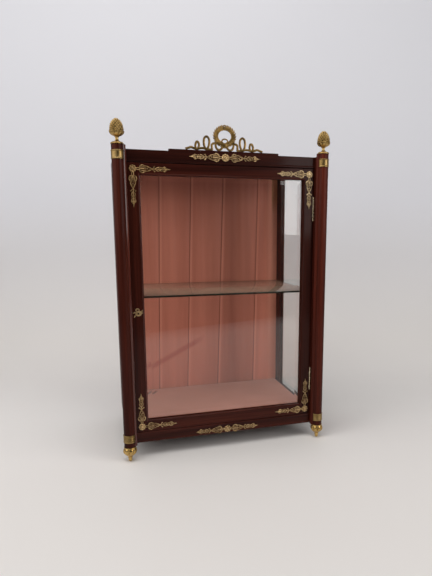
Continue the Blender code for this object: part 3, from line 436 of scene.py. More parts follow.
for place in ("upper", "lower"):
    for name in ("hinge_post_leaf_", "hinge_door_leaf_", "hinge_pin_"):
        dress(name + place, brass, 0.25)
for name in ("lock_case", "strike_plate"):
    dress(name, brass, 0.3)
for side in SIDES:
    dress("hanging_plate_" + side, steel, 0.2)
    for place in ("front", "back"):
        dress("shelf_pin_%s_%s" % (place, side), brass, 0.3)
dress("lock_bolt", steel, 0.4)
print("metals:", list(metals))

# %% [markdown]
# Clear glass bends and mirrors light. Lamps would not reach the silk through it, so shadow rays and the soft
# light between surfaces pass straight through a Transparent shader, and the eye still sees real glass with
# the bright lines of the bevel. A few faint smears keep it from being perfectly clean. The sides have grey
# glass: painted shade that darkens what is seen through them.

# %% Glass
DUST_COLOUR = (0.64, 0.43, 0.32, 1)
NO_DUST = ((0.0, 0.0), (1.0, 0.0))


def clear_glass(name, tint, dust=NO_DUST):
    """Glass that lets lamps light what stands behind it. Dust is (depth, share) in front and at the back."""
    glass = Finish(name)
    cloud = glass.noise((14, 14, 5), 4, 0.6, 1.2)
    smear = glass.step(cloud, 0.62, 0.85, 0.0, 0.02)
    body = glass.node("BsdfPrincipled", {
        "Base Color": tint, "Roughness": smear, "IOR": 1.5, "Transmission Weight": 1.0})
    veil = glass.node("BsdfDiffuse", {"Color": DUST_COLOUR})
    (front, near_share), (back, far_share) = dust
    share = glass.step(glass.coordinate("Y"), front, back, near_share, far_share)
    share = share * glass.step(cloud, 0.3, 0.7, 0.8, 1.0)
    dusty = glass.node("MixShader", {0: share, 1: body, 2: veil})
    clear = glass.node("BsdfTransparent", {"Color": tint})
    shadow = glass.node("LightPath", None, "Is Shadow Ray")
    soft = glass.node("LightPath", None, "Is Diffuse Ray")
    passing = glass.math("MAXIMUM", shadow, soft)
    return glass.close(glass.node("MixShader", {0: passing, 1: dusty, 2: clear}))


pane_glass = clear_glass("clear_glass", (0.985, 0.995, 0.99, 1))
# painted shade: the side panes are tinted grey to darken what is seen through them
grey_shaded_glass = clear_glass("grey_shaded_glass", (0.86, 0.87, 0.855, 1))
dress("door_glass", pane_glass, 0)
for side in SIDES:
    dress("side_glass_" + side, grey_shaded_glass, 0)
print("panes dressed with", pane_glass.name, grey_shaded_glass.name)

# %% [markdown]
# The turned pieces need a lathe. In Blender that is a line of points, half of the outline, and the Screw
# modifier, which sweeps it round the upright axis. A smooth line through a few points gives the soft curves
# of turned work. Doubles are merged afterwards, which closes the seam and the poles.

# %% Modelling helpers
def modify(obj, kind, **settings):
    """Adds a modifier and applies it."""
    modifier = obj.modifiers.new(kind.lower(), kind)
    for key, value in settings.items():
        setattr(modifier, key, value)
    alone(obj)
    bpy.ops.object.modifier_apply(modifier=modifier.name)


def on_whole(obj, *operators):
    """Runs mesh operators, each with its settings, on everything in an object."""
    alone(obj)
    bpy.ops.object.mode_set(mode="EDIT")
    bpy.ops.mesh.select_all(action="SELECT")
    for operator, settings in operators:
        operator(**settings)
    bpy.ops.object.mode_set(mode="OBJECT")


def clean(obj):
    """Merges doubles and turns the faces outwards."""
    on_whole(obj, (bpy.ops.mesh.remove_doubles, {"threshold": 1e-6}),
             (bpy.ops.mesh.normals_make_consistent, {"inside": False}))


def new_mesh(points, edges=(), faces=()):
    """An object from points in metres."""
    mesh = bpy.data.meshes.new("piece")
    mesh.from_pydata(points, edges, faces)
    obj = bpy.data.objects.new("piece", mesh)
    scene.collection.objects.link(obj)
    return obj


def grid_faces(rows, columns, closed=True):
    """Faces between the points of a grid, row by row. A closed grid joins its ends to its starts."""
    faces = []
    for row in range(rows if closed else rows - 1):
        this, following = row * columns, (row + 1) % rows * columns
        for number in range(columns if closed else columns - 1):
            after = (number + 1) % columns
            faces.append((this + number, this + after, following + after, following + number))
    return faces


def block(low, high):
    """A plain block between two corners."""
    obj = primitive(bpy.ops.mesh.primitive_cube_add, size=1.0)
    obj.data.transform(Matrix.Translation((low + high) / 2) @ Matrix.Diagonal((*(high - low), 1)))
    return obj


def smooth_line(points, steps=4):
    """More points on a smooth line through these."""
    ends = [points[0], *points, points[-1]]
    line = []
    for four in zip(ends, ends[1:], ends[2:], ends[3:]):
        for t in (step / steps for step in range(steps)):
            line.append(tuple(0.5 * (2 * q + (r - p) * t + (2 * p - 5 * q + 4 * r - s) * t ** 2
                                     + (3 * q - p - 3 * r + s) * t ** 3) for p, q, r, s in zip(*four)))
    return line + [points[-1]]


def lathe(profile, steps=64, sweep=360, closed=False):
    """Turns (radius, height) pairs in millimetres round the upright axis."""
    points = [(max(0.0, radius) * MM, 0, height * MM) for radius, height in profile]
    edges = [(n, n + 1) for n in range(len(points) - 1)] + ([(len(points) - 1, 0)] if closed else [])
    obj = new_mesh(points, edges)
    modify(obj, "SCREW", steps=steps, render_steps=steps, angle=radians(sweep), use_merge_vertices=True,
           merge_threshold=1e-7, use_normal_calculate=True)
    if sweep < 360:
        on_whole(obj, (bpy.ops.mesh.fill_holes, {"sides": 0}))
    clean(obj)
    return obj


def copy_of(obj, matrix):
    """A copy with its own mesh, moved by a matrix."""
    made = obj.copy()
    made.data = obj.data.copy()
    scene.collection.objects.link(made)
    made.data.transform(matrix)
    return made


def join(*objs):
    """Makes one object of several."""
    alone(*objs)
    bpy.ops.object.join()
    return objs[0]


def drop(*objs):
    """Removes objects that were only patterns for copies."""
    for obj in objs:
        bpy.data.objects.remove(obj)


def settle(obj, name, body, slot, material, *replaced, angle=40):
    """Names a finished piece, gives it its finish and ties it to the frame."""
    obj.name = obj.data.name = name
    obj.data.materials.clear()
    obj.data.materials.append(material)
    alone(obj)
    bpy.ops.object.shade_smooth_by_angle(angle=radians(angle))
    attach(obj, body)
    if replaced:
        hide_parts(*replaced)
    print("%s: %d faces" % (name, len(obj.data.polygons)))


def paint(obj, material, test):
    """Gives a further finish to the faces that pass the test."""
    obj.data.materials.append(material)
    for face in obj.data.polygons:
        if test(face):
            face.material_index = len(obj.data.materials) - 1


print("modelling helpers ready")

# %% [markdown]
# Each corner has a round column that stands half in front of its post, and a narrow fillet beside the door
# whose edge is rounded over. Seen from above that is one outline, so it is drawn once, filled and pulled up
# to the height of the case. The round has many sides, so that its long highlight stays smooth. On the left,
# beside the lock, hands have rubbed the edge of the fillet, and it is painted lighter as well: painted light.

# %% Columns
COLUMN_X, COLUMN_Y, COLUMN_RADIUS = 254.5, -11.0, 13.75
COLUMN_LOW, COLUMN_HIGH = 39.5, 764.3
ROUND_FROM, ROUND_TO, ROUND_STEPS = 68.5, -158.5, 64
FILLET = [(241.6, -16.55), (239.3, -15.9), (236.6, -13.2), (236.0, -12.2), (236.0, -11.3), (259.8, -11.3)]
RUBBED_LIT_TO = 241.0


def column_outline():
    """The right column from above, in millimetres from the middle and the door's face."""
    outline = []
    for step in range(ROUND_STEPS + 1):
        angle = radians(ROUND_FROM + (ROUND_TO - ROUND_FROM) * step / ROUND_STEPS)
        outline.append((COLUMN_X + COLUMN_RADIUS * cos(angle), COLUMN_Y + COLUMN_RADIUS * sin(angle)))
    return outline + FILLET


rise = {"value": (0, 0, (COLUMN_HIGH - COLUMN_LOW) * MM)}
for side, sign in SIDES.items():
    ring = [at(sign * across, behind, COLUMN_LOW) for across, behind in column_outline()]
    column = new_mesh(ring, (), [list(range(len(ring)))])
    on_whole(column, (bpy.ops.mesh.extrude_region_move, {"TRANSFORM_OT_translate": rise}))
    clean(column)
    # painted light: the right column gets a lighter copy of the wood
    settle(column, "round_column_" + side, "case", "mahogany", woods["column_" + side],
           "column_" + side, angle=35)
    if side == "left":
        # worn and painted light: the rubbed, polished edge of the fillet is also painted lighter
        paint(column, woods["rubbed_and_lit_edge"],
              lambda face: 0.2 < face.normal.x < 0.9 and face.center.x / MM > -RUBBED_LIT_TO)

# %% [markdown]
# A small bead frames the glass of the door. Its section is a slope towards the glass, a round top and a
# steep outer side. Each point of the section becomes a rectangle round the opening, and faces join one
# rectangle to the next, which gives neat mitres. The upright near the lock is rubbed by hands and painted
# lighter as painted light, and the one at the hinges is painted darker as painted shade.

# %% Bead round the glass
BEAD_SECTION = ((0.2, 0.3), (0.2, -0.4), (2.3, -2.5), (3.2, -2.7), (4.1, -2.1), (4.5, 0.3))
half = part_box("door_stile_right")[0][0]
sill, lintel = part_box("door_bottom_rail")[1][2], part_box("door_top_rail")[0][2]
corners = []
for out, forward in BEAD_SECTION:
    bottom, top = sill - out * MM, lintel + out * MM
    for sign, end in ((-1, bottom), (1, bottom), (1, top), (-1, top)):
        corners.append((sign * (half + out * MM), DOOR_FACE + forward * MM, end))
bead = new_mesh(corners, (), grid_faces(len(BEAD_SECTION), 4))
clean(bead)
settle(bead, "door_sight_bead", "door", "mahogany", woods["level"], angle=50)
# worn and painted light: the bead's upright near the lock is painted lighter
paint(bead, woods["rubbed_and_lit_edge"], lambda face: face.center.x < -0.9 * half)
# painted shade: the bead's upright at the hinges is darker
paint(bead, woods["dark"], lambda face: face.center.x > 0.9 * half)

# %% [markdown]
# Gilt collars hug the columns: a plain polished band between two rims above, and a reeded band below. The
# section of the band is swept round the part of the column that shows, and ends against the fillet and the
# post.

# %% Collars
RIM = [(14.5, 6.7), (14.9, 7.3), (15.2, 7.9), (15.2, 9.2), (14.9, 9.7), (13.9, 9.7)]
PLAIN_BAND = [(14.55, -6.7), (14.72, 0.0)]
REEDED_HALF, REED_LOW, REED_HIGH = 6.6, 14.1, 14.95
COLLARS = (("upper", 741.85, 0), ("lower", 61.25, 3))  # place, height of its middle, reeds
SHORT_BY = 2


def band(reeds):
    """The section of a collar: radius and height in millimetres, with rims and some reeds between them."""
    section = [(radius, -height) for radius, height in RIM[:0:-1]]
    for reed in range(reeds):
        middle = -REEDED_HALF + 2 * REEDED_HALF * (reed + 0.5) / reeds
        reach = REEDED_HALF / reeds
        section += [(REED_LOW, middle - 0.95 * reach), (REED_HIGH, middle - 0.35 * reach),
                    (REED_HIGH, middle + 0.35 * reach)]
    return section + ([] if reeds else PLAIN_BAND) + RIM


for place, height, reeds in COLLARS:
    for side, sign in SIDES.items():
        collar = lathe(band(reeds), 56, ROUND_FROM - ROUND_TO - SHORT_BY, closed=True)
        middle = sum((v.co for v in collar.data.vertices), Vector()) / len(collar.data.vertices)
        outer_corner = -90 + 45 * sign
        spin = turn("Z", outer_corner - degrees(atan2(middle.y, middle.x)))
        collar.data.transform(Matrix.Translation(at(sign * COLUMN_X, COLUMN_Y, height)) @ spin)
        name = "%s_collar_%s" % (place, side)
        settle(collar, "gilt_" + name, "case", "gilt_bronze", metals["gilt_bronze"], name, angle=30)

# %% [markdown]
# The pine cone is the old sign for plenty on such furniture. A turned foot and stem carry a leafy cup, and a
# blunt cone sits in it. Its scales are one small crowned shape that is copied round the cone in staggered
# rows, each copy as wide as its row allows, so that the rows run up in slanting lines as on a real cone. The
# core behind the scales gets a near-black gilt: painted shade for the deep lines between the scales.

# %% Pine cone finials
CONE_LINE = ((28.0, 14.0), (34.5, 13.3), (41.7, 11.7), (47.0, 9.3), (51.0, 6.2), (53.6, 3.2))
CONE_TIP = 55.0
STAND_LINE = [(0, 0), (14.0, 0), (14.5, 0.9), (14.3, 2.6), (12.6, 4.2), (8.8, 5.6), (5.2, 7.4), (3.9, 9.8),
              (3.7, 12.8), (4.1, 14.8), (5.4, 15.7), (5.2, 16.5), (7.4, 17.5), (12.4, 19.6), (15.6, 22.8),
              (17.0, 26.6), (16.7, 28.6), (14.4, 28.4)]
ROWS, FIRST_ROW, ROW_STEP = 7, 30.4, 3.75
SCALE_FILL, SCALE_THICK, SCALE_TALL, TIP_SCALE_TALL, SCALE_TIP_OUT = 0.97, 2.0, 3.1, 2.3, 8


def cone_radius(height):
    """Radius of the cone under its scales, between the given heights."""
    for (low, wide), (high, narrow) in zip(CONE_LINE, CONE_LINE[1:]):
        if height <= high:
            return wide + (narrow - wide) * (height - low) / (high - low)
    return 0.0


def lobed(obj, count, depth, low, high):
    """Presses leaves into a turned piece between two heights, with a deep line between them."""
    for vertex in obj.data.vertices:
        share = (vertex.co.z / MM - low) / (high - low)
        if 0 < share < 1:
            leaf = abs(cos(count * atan2(vertex.co.y, vertex.co.x) / 2))
            swell = 1 - depth * sin(pi * share) ** 0.6 * (1 - leaf) ** 2
            vertex.co.x *= swell
            vertex.co.y *= swell


def cone_scale():
    """One scale of the cone, pointing up along z and swelling towards -y."""
    scale = primitive(bpy.ops.mesh.primitive_uv_sphere_add, segments=10, ring_count=8, radius=1.0)
    for vertex in scale.data.vertices:
        rise = vertex.co.z
        vertex.co.x *= 1.0 - 0.5 * max(0.0, rise) ** 2
        vertex.co.y = vertex.co.y * (1.0 + 0.35 * rise) - 0.4 * max(0.0, rise + 0.2)
    return scale


def pine_cone():
    """A whole finial on the axis, standing on height 0, and how many of its faces the scales sit on."""
    core = [(radius, height) for height, radius in CONE_LINE[1:]] + [(0, CONE_TIP)]
    body = lathe(smooth_line(STAND_LINE) + core, 96)
    lobed(body, count=9, depth=0.18, low=16.6, high=29.2)
    core_faces = len(body.data.polygons)
    scale = cone_scale()
    parts = [body]
    for row in range(ROWS):
        height = FIRST_ROW + ROW_STEP * row
        radius = cone_radius(height)
        lean = degrees(atan2(cone_radius(height + 1) - cone_radius(height - 1), 2))
        count = 12 if radius > 9 else 9 if radius > 5 else 6
        half_wide = pi * radius / count * SCALE_FILL
        tall = SCALE_TALL if radius > 5 else TIP_SCALE_TALL
        shape = Matrix.Diagonal((half_wide * MM, SCALE_THICK * MM, tall * MM, 1))
        spot = Matrix.Translation((0, -radius * MM, height * MM)) @ turn("X", lean + SCALE_TIP_OUT)
        for number in range(count):
            around = turn("Z", 360 / count * (number + 0.5 * (row % 2)))
            parts.append(copy_of(scale, around @ spot @ shape))
    drop(scale)
    return join(*parts), core_faces


cone, core_faces = pine_cone()
scales_from = at(0, 0, COLUMN_HIGH + CONE_LINE[0][0] + 1.0).z
for side, sign in SIDES.items():
    column_top = Matrix.Translation(at(sign * COLUMN_X, COLUMN_Y, COLUMN_HIGH + 0.3))
    finial = copy_of(cone, column_top @ turn("Z", 11 * sign))
    settle(finial, "gilt_pine_cone_" + side, "case", "gilt_bronze", metals["gilt_bronze_leaf"],
           "pine_cone_finial_" + side)
    # painted shade: the core between the scales gets the near-black gilt
    paint(finial, metals["gilt_bronze_shade_core"],
          lambda face: face.index < core_faces and face.center.z > scales_from)
drop(cone)

# %% [markdown]
# The drop feet hang under the columns: a leafy bulb and a short stem that ends in a small round tip. They are
# turned first and the lines between the leaves are pressed in afterwards, because the lathe can only make
# round shapes.

# %% Drop feet
FOOT_LINE = [(0, 0.0), (2.2, 0.3), (3.8, 1.8), (4.5, 4.2), (4.3, 6.6), (4.9, 8.2), (5.7, 9.4), (5.2, 10.8),
             (5.6, 12.4), (8.0, 14.8), (11.4, 17.8), (14.2, 20.7), (16.4, 23.9), (17.1, 27.2), (16.6, 31.0),
             (15.2, 34.6), (14.2, 36.2), (14.5, 37.3), (14.2, 38.5), (13.6, 39.1), (0, 39.1)]
foot = lathe(smooth_line(FOOT_LINE), 128)
lobed(foot, count=8, depth=0.15, low=12.6, high=36.4)
for side, sign in SIDES.items():
    made = copy_of(foot, Matrix.Translation(at(sign * COLUMN_X, COLUMN_Y, 0)) @ turn("Z", 8))
    settle(made, "gilt_drop_foot_" + side, "case", "gilt_bronze", metals["gilt_bronze_polished"],
           "drop_foot_" + side)
drop(foot)

# %% [markdown]
# Cast foliage is made of strokes: stems, scrolls, leaves and buds are all a line that swells and thins. A
# curve with a round bevel and a radius at each point gives such a stroke. All strokes of an arm are splines
# of one curve, turned into a mesh together, flattened, and pressed flat at the back where they lie on the
# wood.

# %% Leafy arm of a mount
def strokes(lines, flat=0.8, flat_back=True):
    """A mesh of strokes in the x-z plane: points and radii in mm, how far forward, mirrored or closed."""
    curve = bpy.data.curves.new("strokes", "CURVE")
    curve.dimensions, curve.bevel_depth, curve.bevel_resolution = "3D", MM, 2
    curve.resolution_u, curve.use_fill_caps = 5, True
    for points, radii, forward, *kind in lines:
        for flip in ((1, -1) if "mirrored" in kind else (1,)):
            spline = curve.splines.new("BEZIER")
            spline.bezier_points.add(len(points) - 1)
            spline.use_cyclic_u = "closed" in kind
            for spot, (along, out), radius in zip(spline.bezier_points, points, radii):
                spot.co, spot.radius = (along * MM, -forward * MM, flip * out * MM), radius
                spot.handle_left_type = spot.handle_right_type = "AUTO"
    obj = bpy.data.objects.new("strokes", curve)
    scene.collection.objects.link(obj)
    alone(obj)
    bpy.ops.object.convert(target="MESH")
    obj = bpy.context.object
    obj.data.transform(Matrix.Diagonal((1, flat, 1, 1)))
    clean(obj)
    if flat_back:
        for vertex in obj.data.vertices:
            vertex.co.y = min(vertex.co.y, 0.0)
    return obj


ARM_LENGTH = 88.0
LEAFY_ARM = [
    (((5.0, 2.7), (10.5, 2.3), (16.5, 2.8)), (1.1, 1.0, 1.2), 0, "mirrored"),
    (((15.6, 3.6), (18.2, 8.2), (22.5, 10.2), (27.5, 9.0)), (1.0, 1.8, 1.7, 0.7), 0.3, "mirrored"),
    (((24.0, 7.6), (31.0, 7.2), (38.0, 5.0), (44.0, 1.0), (48.6, -4.0), (51.5, -7.6)),
     (0.7, 0.9, 0.9, 1.0, 1.1, 1.9), 0.3, "mirrored"),
    (((15.0, 0), (20.0, 0), (26.0, 0), (33.0, 0)), (0.8, 1.9, 1.6, 0.4), 1.2),
    (((16.5, 2.6), (21.5, 4.6), (27.0, 4.4), (32.0, 3.0)), (0.9, 1.1, 1.0, 0.5), 0, "mirrored"),
    (((33.8, 0), (35.6, 2.9), (38.4, 3.0), (41.0, 0)), (0.8, 0.9, 0.9, 0.8), 0, "mirrored"),
    (((43.0, 0), (56.0, 0), (70.0, 0)), (0.9, 1.0, 0.8), 0.4),
    (((52.0, 1.2), (57.0, 4.4), (62.0, 5.8)), (0.7, 1.5, 0.7), 0, "mirrored"),
    (((59.5, 1.0), (64.0, 3.6), (68.0, 4.6)), (0.7, 1.4, 0.5), 0, "mirrored"),
    (((67.0, 1.2), (70.5, 4.6), (74.5, 5.8), (77.0, 4.2)), (0.8, 1.3, 1.6, 0.8), 0, "mirrored"),
    (((71.5, 1.6), (76.0, 3.2), (80.0, 2.6)), (0.7, 1.3, 0.6), 0.5, "mirrored"),
    (((70.0, 0), (75.0, 0), (80.5, 0), (ARM_LENGTH, 0)), (0.8, 1.7, 2.2, 0.3), 0.8),
]
arm = strokes(LEAFY_ARM)
print("leafy arm faces:", len(arm.data.polygons))

# %% [markdown]
# Where two arms meet there is a flower head: a ring of eight petals round a small boss. It is turned on the
# lathe and the petals are pressed in, then it is tipped over to face the room.

# %% Flower head
FLOWER_LINE = ((1, 0.35), (0.94, 0.62), (0.78, 0.74), (0.62, 0.55), (0.50, 0.46), (0.44, 0.72), (0.30, 0.93),
               (0, 1))
BOSS, NOTCH, DIP = 0.5, 0.13, 0.38


def flower_head(radius, relief):
    """A rosette that faces the room, lying on the plane y = 0."""
    face = smooth_line([(radius * wide, relief * high) for wide, high in FLOWER_LINE])
    head = lathe([(0, 0), (radius, 0)] + face)
    for vertex in head.data.vertices:
        reach = hypot(vertex.co.x, vertex.co.y) / (radius * MM)
        if reach > BOSS:
            petal = abs(cos(4 * atan2(vertex.co.y, vertex.co.x)))
            shrink = 1 - NOTCH * (1 - petal) ** 2 * (reach - BOSS) * 2
            vertex.co.x, vertex.co.y = vertex.co.x * shrink, vertex.co.y * shrink
            vertex.co.z *= 1 - DIP + DIP * petal
    head.data.transform(turn("X", 90))
    return head


corner_head = flower_head(8.8, 3.2)
rail_head = flower_head(9.3, 3.4)
print("flower head faces:", len(corner_head.data.polygons))

# %% [markdown]
# A corner mount is a flower head with two arms at a right angle, so that it wraps the joint of the door. A
# rail mount is a flower head with two arms in line. Both are copies of the same arm, turned and set down on
# the face of the wood.

# %% Corner mounts and rail mounts
def mount(head, place, *turns, wide, long=1.0):
    """A flower head with a copy of the arm for each turn, stretched and set down at a place."""
    spot = Matrix.Translation(place)
    stretch = Matrix.Diagonal((long, 1, wide, 1))
    arms = [copy_of(arm, spot @ turn("Y", angle) @ stretch) for angle in turns]
    return join(copy_of(head, spot), *arms)


# painted shade on the upper left corner mount and painted light on the upper right one
MOUNT_LIGHT_AND_SHADE = {"corner_mount_upper_left": metals["gilt_bronze_shaded"],
              "corner_mount_upper_right": metals["gilt_bronze_lit"]}
MOUNT_X, PROUD = 222.0, -0.2
for level, height, upright in (("upper", 713.8, 90), ("lower", 82.0, -90)):
    for side, sign in SIDES.items():
        inward = 0 if sign < 0 else 180
        made = mount(corner_head, at(sign * MOUNT_X, PROUD, height), inward, upright, wide=0.85)
        name = "corner_mount_%s_%s" % (level, side)
        settle(made, "leafy_" + name, "door", "gilt_bronze", MOUNT_LIGHT_AND_SHADE.get(name, worn_gilt), name)
for name, height, length in (("top_rail_mount", 746.25, 178.0), ("bottom_rail_mount", 50.25, 172.0)):
    made = mount(rail_head, at(0, PROUD, height), 0, 180, long=length / 2 / ARM_LENGTH, wide=0.88)
    settle(made, "leafy_" + name, "case", "gilt_bronze", worn_gilt, name)
drop(arm, corner_head, rail_head)

# %% [markdown]
# The escutcheon guards the keyhole: an oval rim round a small plate with a real keyhole through it, dressed
# as a knot of ribbon with a bow above and four short ends. The plate is two loops of points, the oval and
# the keyhole, joined by faces. The ribbon is made of strokes again.

# %% Escutcheon
KEYHOLE_PLACE = (-220.4, -0.1, 373.0)
RIM_ACROSS, RIM_TALL = 6.2, 5.4
KEY_ROUND, KEY_UP, KEY_SLOT, KEY_FOOT = 1.7, 0.7, 1.35, -3.3


def oval_line(across, tall, count=12, up=0):
    """Points round an oval, for a closed stroke."""
    angles = [tau * number / count for number in range(count)]
    return [(across * cos(angle), up + tall * sin(angle)) for angle in angles]


def keyhole_plate(across, tall, thick, points=40):
    """An oval plate with a keyhole, facing the room, with its back on the plane y = 0."""
    hole = [(KEY_SLOT * x, KEY_FOOT) if z < -0.72 else (KEY_ROUND * x, KEY_UP + KEY_ROUND * z)
            for x, z in oval_line(1, 1, points)]
    oval = oval_line(across, tall, points)
    rings = [(oval, 0.0), (oval, thick), (hole, 0.75 * thick), (hole, 0.0)]
    corners = [(x * MM, -forward * MM, z * MM) for ring, forward in rings for x, z in ring]
    plate = new_mesh(corners, (), grid_faces(len(rings), points))
    clean(plate)
    return plate


ribbon_knot = strokes([
    (oval_line(RIM_ACROSS, RIM_TALL), (1.5,) * 12, 0.3, "closed"),
    (((-5.6, 1.6), (-9.4, 2.4), (-12.8, 0.8)), (1.2, 1.6, 1.0), 0),
    (((-5.2, -2.2), (-8.2, -5.2), (-10.6, -9.6)), (1.2, 1.6, 0.9), 0),
    (((5.2, 2.4), (8.6, 5.6), (11.4, 9.4)), (1.2, 1.6, 0.9), 0),
    (((5.6, -0.6), (9.6, 0.8), (12.8, -0.6)), (1.2, 1.5, 1.0), 0),
    (((-3.6, 5.8), (-6.4, 9.0), (-3.0, 11.4), (1.4, 9.6), (1.0, 6.2)), (1.2,) * 5, 0, "closed"),
])
escutcheon = join(ribbon_knot, keyhole_plate(RIM_ACROSS, RIM_TALL, 1.0))
escutcheon.data.transform(Matrix.Translation(at(*KEYHOLE_PLACE)))
settle(escutcheon, "ribbon_escutcheon", "door", "gilt_bronze", worn_gilt, "escutcheon")

# %% [markdown]
# The crest is a laurel wreath tied with a looped ribbon. Each of its two branches is a bent stem with leaves
# in threes: one to the outside, one to the inside and one lying on top. A leaf is a short stroke that swells
# and comes to a point. A knot ties the branches, and the ribbon hangs in swags and loops to both sides and
# ends in wavy tails.

# %% Wreath crest
CREST_PLACE = (0, 7.0, 762.3)
WREATH_ACROSS, WREATH_UP, WREATH_MIDDLE = 21.2, 19.0, 35.0
RIBBON = {
    "swag": (((3.0, 14.2), (16.0, 17.5), (26.0, 17.8), (31.5, 15.0), (32.2, 8.6), (31.5, 2.2)), 0.4),
    "curl": (((3.0, 14.4), (7.0, 7.2), (12.0, 3.2), (17.5, 3.8), (21.5, 9.2), (22.5, 17.0)), -0.8),
    "tall_loop": (((45.0, 2.6), (41.6, 7.0), (38.8, 15.0), (38.4, 24.0), (41.0, 30.4), (45.0, 32.6),
                   (49.2, 30.2), (51.4, 23.0), (51.2, 14.0), (49.0, 7.0)), 0.0, "closed"),
    "small_loop": (((68.0, 2.6), (64.6, 7.0), (63.6, 14.4), (67.6, 19.8), (71.5, 14.8), (71.8, 7.0)),
                   0.0, "closed"),
    "link": (((30.0, 2.4), (40.0, 3.0), (50.0, 4.8), (58.0, 5.2), (69.5, 2.5)), 0.9),
    "tail": (((66.5, 2.4), (76.0, 4.4), (83.0, 6.6), (89.0, 4.6), (96.5, 2.4)), 0.3),
}
KNOT = [
    (oval_line(7.2, 5.3, up=23.2), (1.7,) * 12, 1.6, "closed"),
    (((-10.0, 17.6), (-5.0, 15.4), (0.0, 14.4), (5.0, 15.4), (10.0, 17.6)), (1.8, 3.4, 4.4, 3.4, 1.8), 1.0),
    (((0.0, 14.5), (0.0, 11.0), (0.0, 7.0)), (5.6, 5.2, 3.2), 0.6),
]
LEAVES = ((28, 10.0, 0.3), (-24, 9.0, 0.3), (3, 9.4, 2.0))  # lean, length, set forward


def branch(sign, count=12):
    """Strokes of one laurel branch, from the tie at the bottom to the top of the wreath."""
    lines, stem = [], []
    for number in range(count):
        angle = radians(-84 + 157 * number / (count - 1))
        spot = Vector((WREATH_ACROSS * cos(angle), WREATH_MIDDLE + WREATH_UP * sin(angle)))
        onward = Vector((-WREATH_ACROSS * sin(angle), WREATH_UP * cos(angle))).normalized()
        outward = Vector((onward.y, -onward.x))
        stem.append((sign * spot.x, spot.y))
        for lean, length, forward in LEAVES:
            way = onward * cos(radians(lean)) + outward * sin(radians(lean))
            start = spot + outward * lean * 0.07
            leaf = [start + way * length * share for share in (0.0, 0.5, 1.0)]
            lines.append(([(sign * p.x, p.y) for p in leaf], (1.0, 2.6, 0.5), forward))
    lines.append((stem, (2.2,) * count, 0))
    return lines


crest_lines = branch(-1) + branch(1) + KNOT
for sign in SIDES.values():
    for points, *how in RIBBON.values():
        line = [(sign * across, up) for across, up in points]
        crest_lines.append((line, (2.8,) * len(line), *how))
crest = strokes(crest_lines, flat=0.72, flat_back=False)
crest.data.transform(Matrix.Translation(at(*CREST_PLACE)))
settle(crest, "gilt_wreath_crest", "case", "gilt_bronze", metals["gilt_bronze_dark"], "wreath_crest")

# %% [markdown]
# The shelf is a loose sheet of glass. Looked at through its length, window glass is dark green, so its four
# edges get a finish of their own. It is a plain plate whose edges are ground with a narrow bevel. A pale veil
# lies on it, thicker at the back: partly dust and partly painted light for the dimmer back.

# %% Glass shelf
low, high = (Vector(corner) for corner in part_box("glass_shelf"))
shelf = block(low, high)
modify(shelf, "BEVEL", width=0.5 * MM, segments=2, limit_method="ANGLE")

green = Finish("glass_edge")
wave = green.noise((90, 90, 400), 3, 0.6)
edge_glass = green.surface({
    "Base Color": green.mix(wave, (0.006, 0.006, 0.003), (0.016, 0.015, 0.008)),
    "Roughness": green.step(wave, 0.3, 0.7, 0.20, 0.32), "Specular IOR Level": 0.2})
# dust and painted light: the pale veil grows from front to back
dust_and_light_glass = clear_glass("dust_and_light_glass", (0.97, 0.98, 0.95, 1), ((low.y, 0.14), (high.y, 0.42)))
settle(shelf, "sheet_glass_shelf", "case", "clear_glass", dust_and_light_glass, "glass_shelf", angle=30)
paint(shelf, edge_glass, lambda face: abs(face.normal.z) <= 0.9)
print("shelf edge faces:", sum(face.material_index for face in shelf.data.polygons))

# %% [markdown]
# The silk is one sheet, wider than the back, laid in knife pleats: at each pleat it runs under the next fold,
# doubles back and comes forward again. Its path is drawn once from above, point by point, and repeated down
# the height. The pleats lean a little and the panels wave softly, as hand-laid silk does. Each point also
# carries a shade: a painted highlight just beside a fold and painted shade under it.

# %% Path of the silk
SILK_HALF, SILK_LOW, SILK_HIGH = 244.2, 77.6, 722.9
PLEATS = ((-224.0, -234.0), (-124.0, -140.5), (-29.5, -51.5), (70.0, 46.5), (181.0, 165.5))  # top, bottom
LAP = 6.0
WAY_BACK = ((6.6, 4.7), (6.6, 4.3), (6.0, 4.0), (1.0, 2.9), (-0.9, 2.7), (-1.4, 2.4), (-1.2, 2.1), (-0.6, 2.0))
NEAR, DEEP = 304.3, 310.0
PANEL_STEPS = 40
ROLL, ROLL_LONG = 1.7, 3.5
SINK, SINK_LONG = 4.7, 17.0


def silk_path(share):
    """Points of the silk across the back and their shades, at a share of the height from the top."""
    lines = [top + (bottom - top) * share for top, bottom in PLEATS]
    wobble = 2.2 * share
    path, start = [], -SILK_HALF
    for number, line in enumerate(lines + [None]):
        last = line is None
        end = SILK_HALF if last else line + LAP
        for step in range(PANEL_STEPS + 1):
            t = step / PANEL_STEPS
            across = start + (end - start) * t
            roll = ROLL * exp(-(across - start) / ROLL_LONG)
            sink = 0.0 if last else SINK * exp(-(end - across) / SINK_LONG)
            wave = 0.6 * sin(across / 8.5 + number * 1.9 + 0.8 * wobble)
            wave += 0.3 * sin(across / 3.7 + number * 2.3 - wobble)
            behind = min(DEEP, NEAR + 0.2 + roll + sink + wave * sin(pi * t))
            # painted highlight beside a fold and painted shade under it
            pale = exp(-((across - start - 3.0) / 3.0) ** 2) if number else 0.0
            dark = 0.0 if last else exp(-((min(across, line) - line) / 2.2) ** 2)
            path.append((across, behind, 0.5 + 0.5 * pale - 0.5 * dark))
        if not last:
            path += [(line + beside, NEAR + deep, 0.1) for beside, deep in WAY_BACK]
            start = line
    return path


print("points across the silk:", len(silk_path(0.0)))

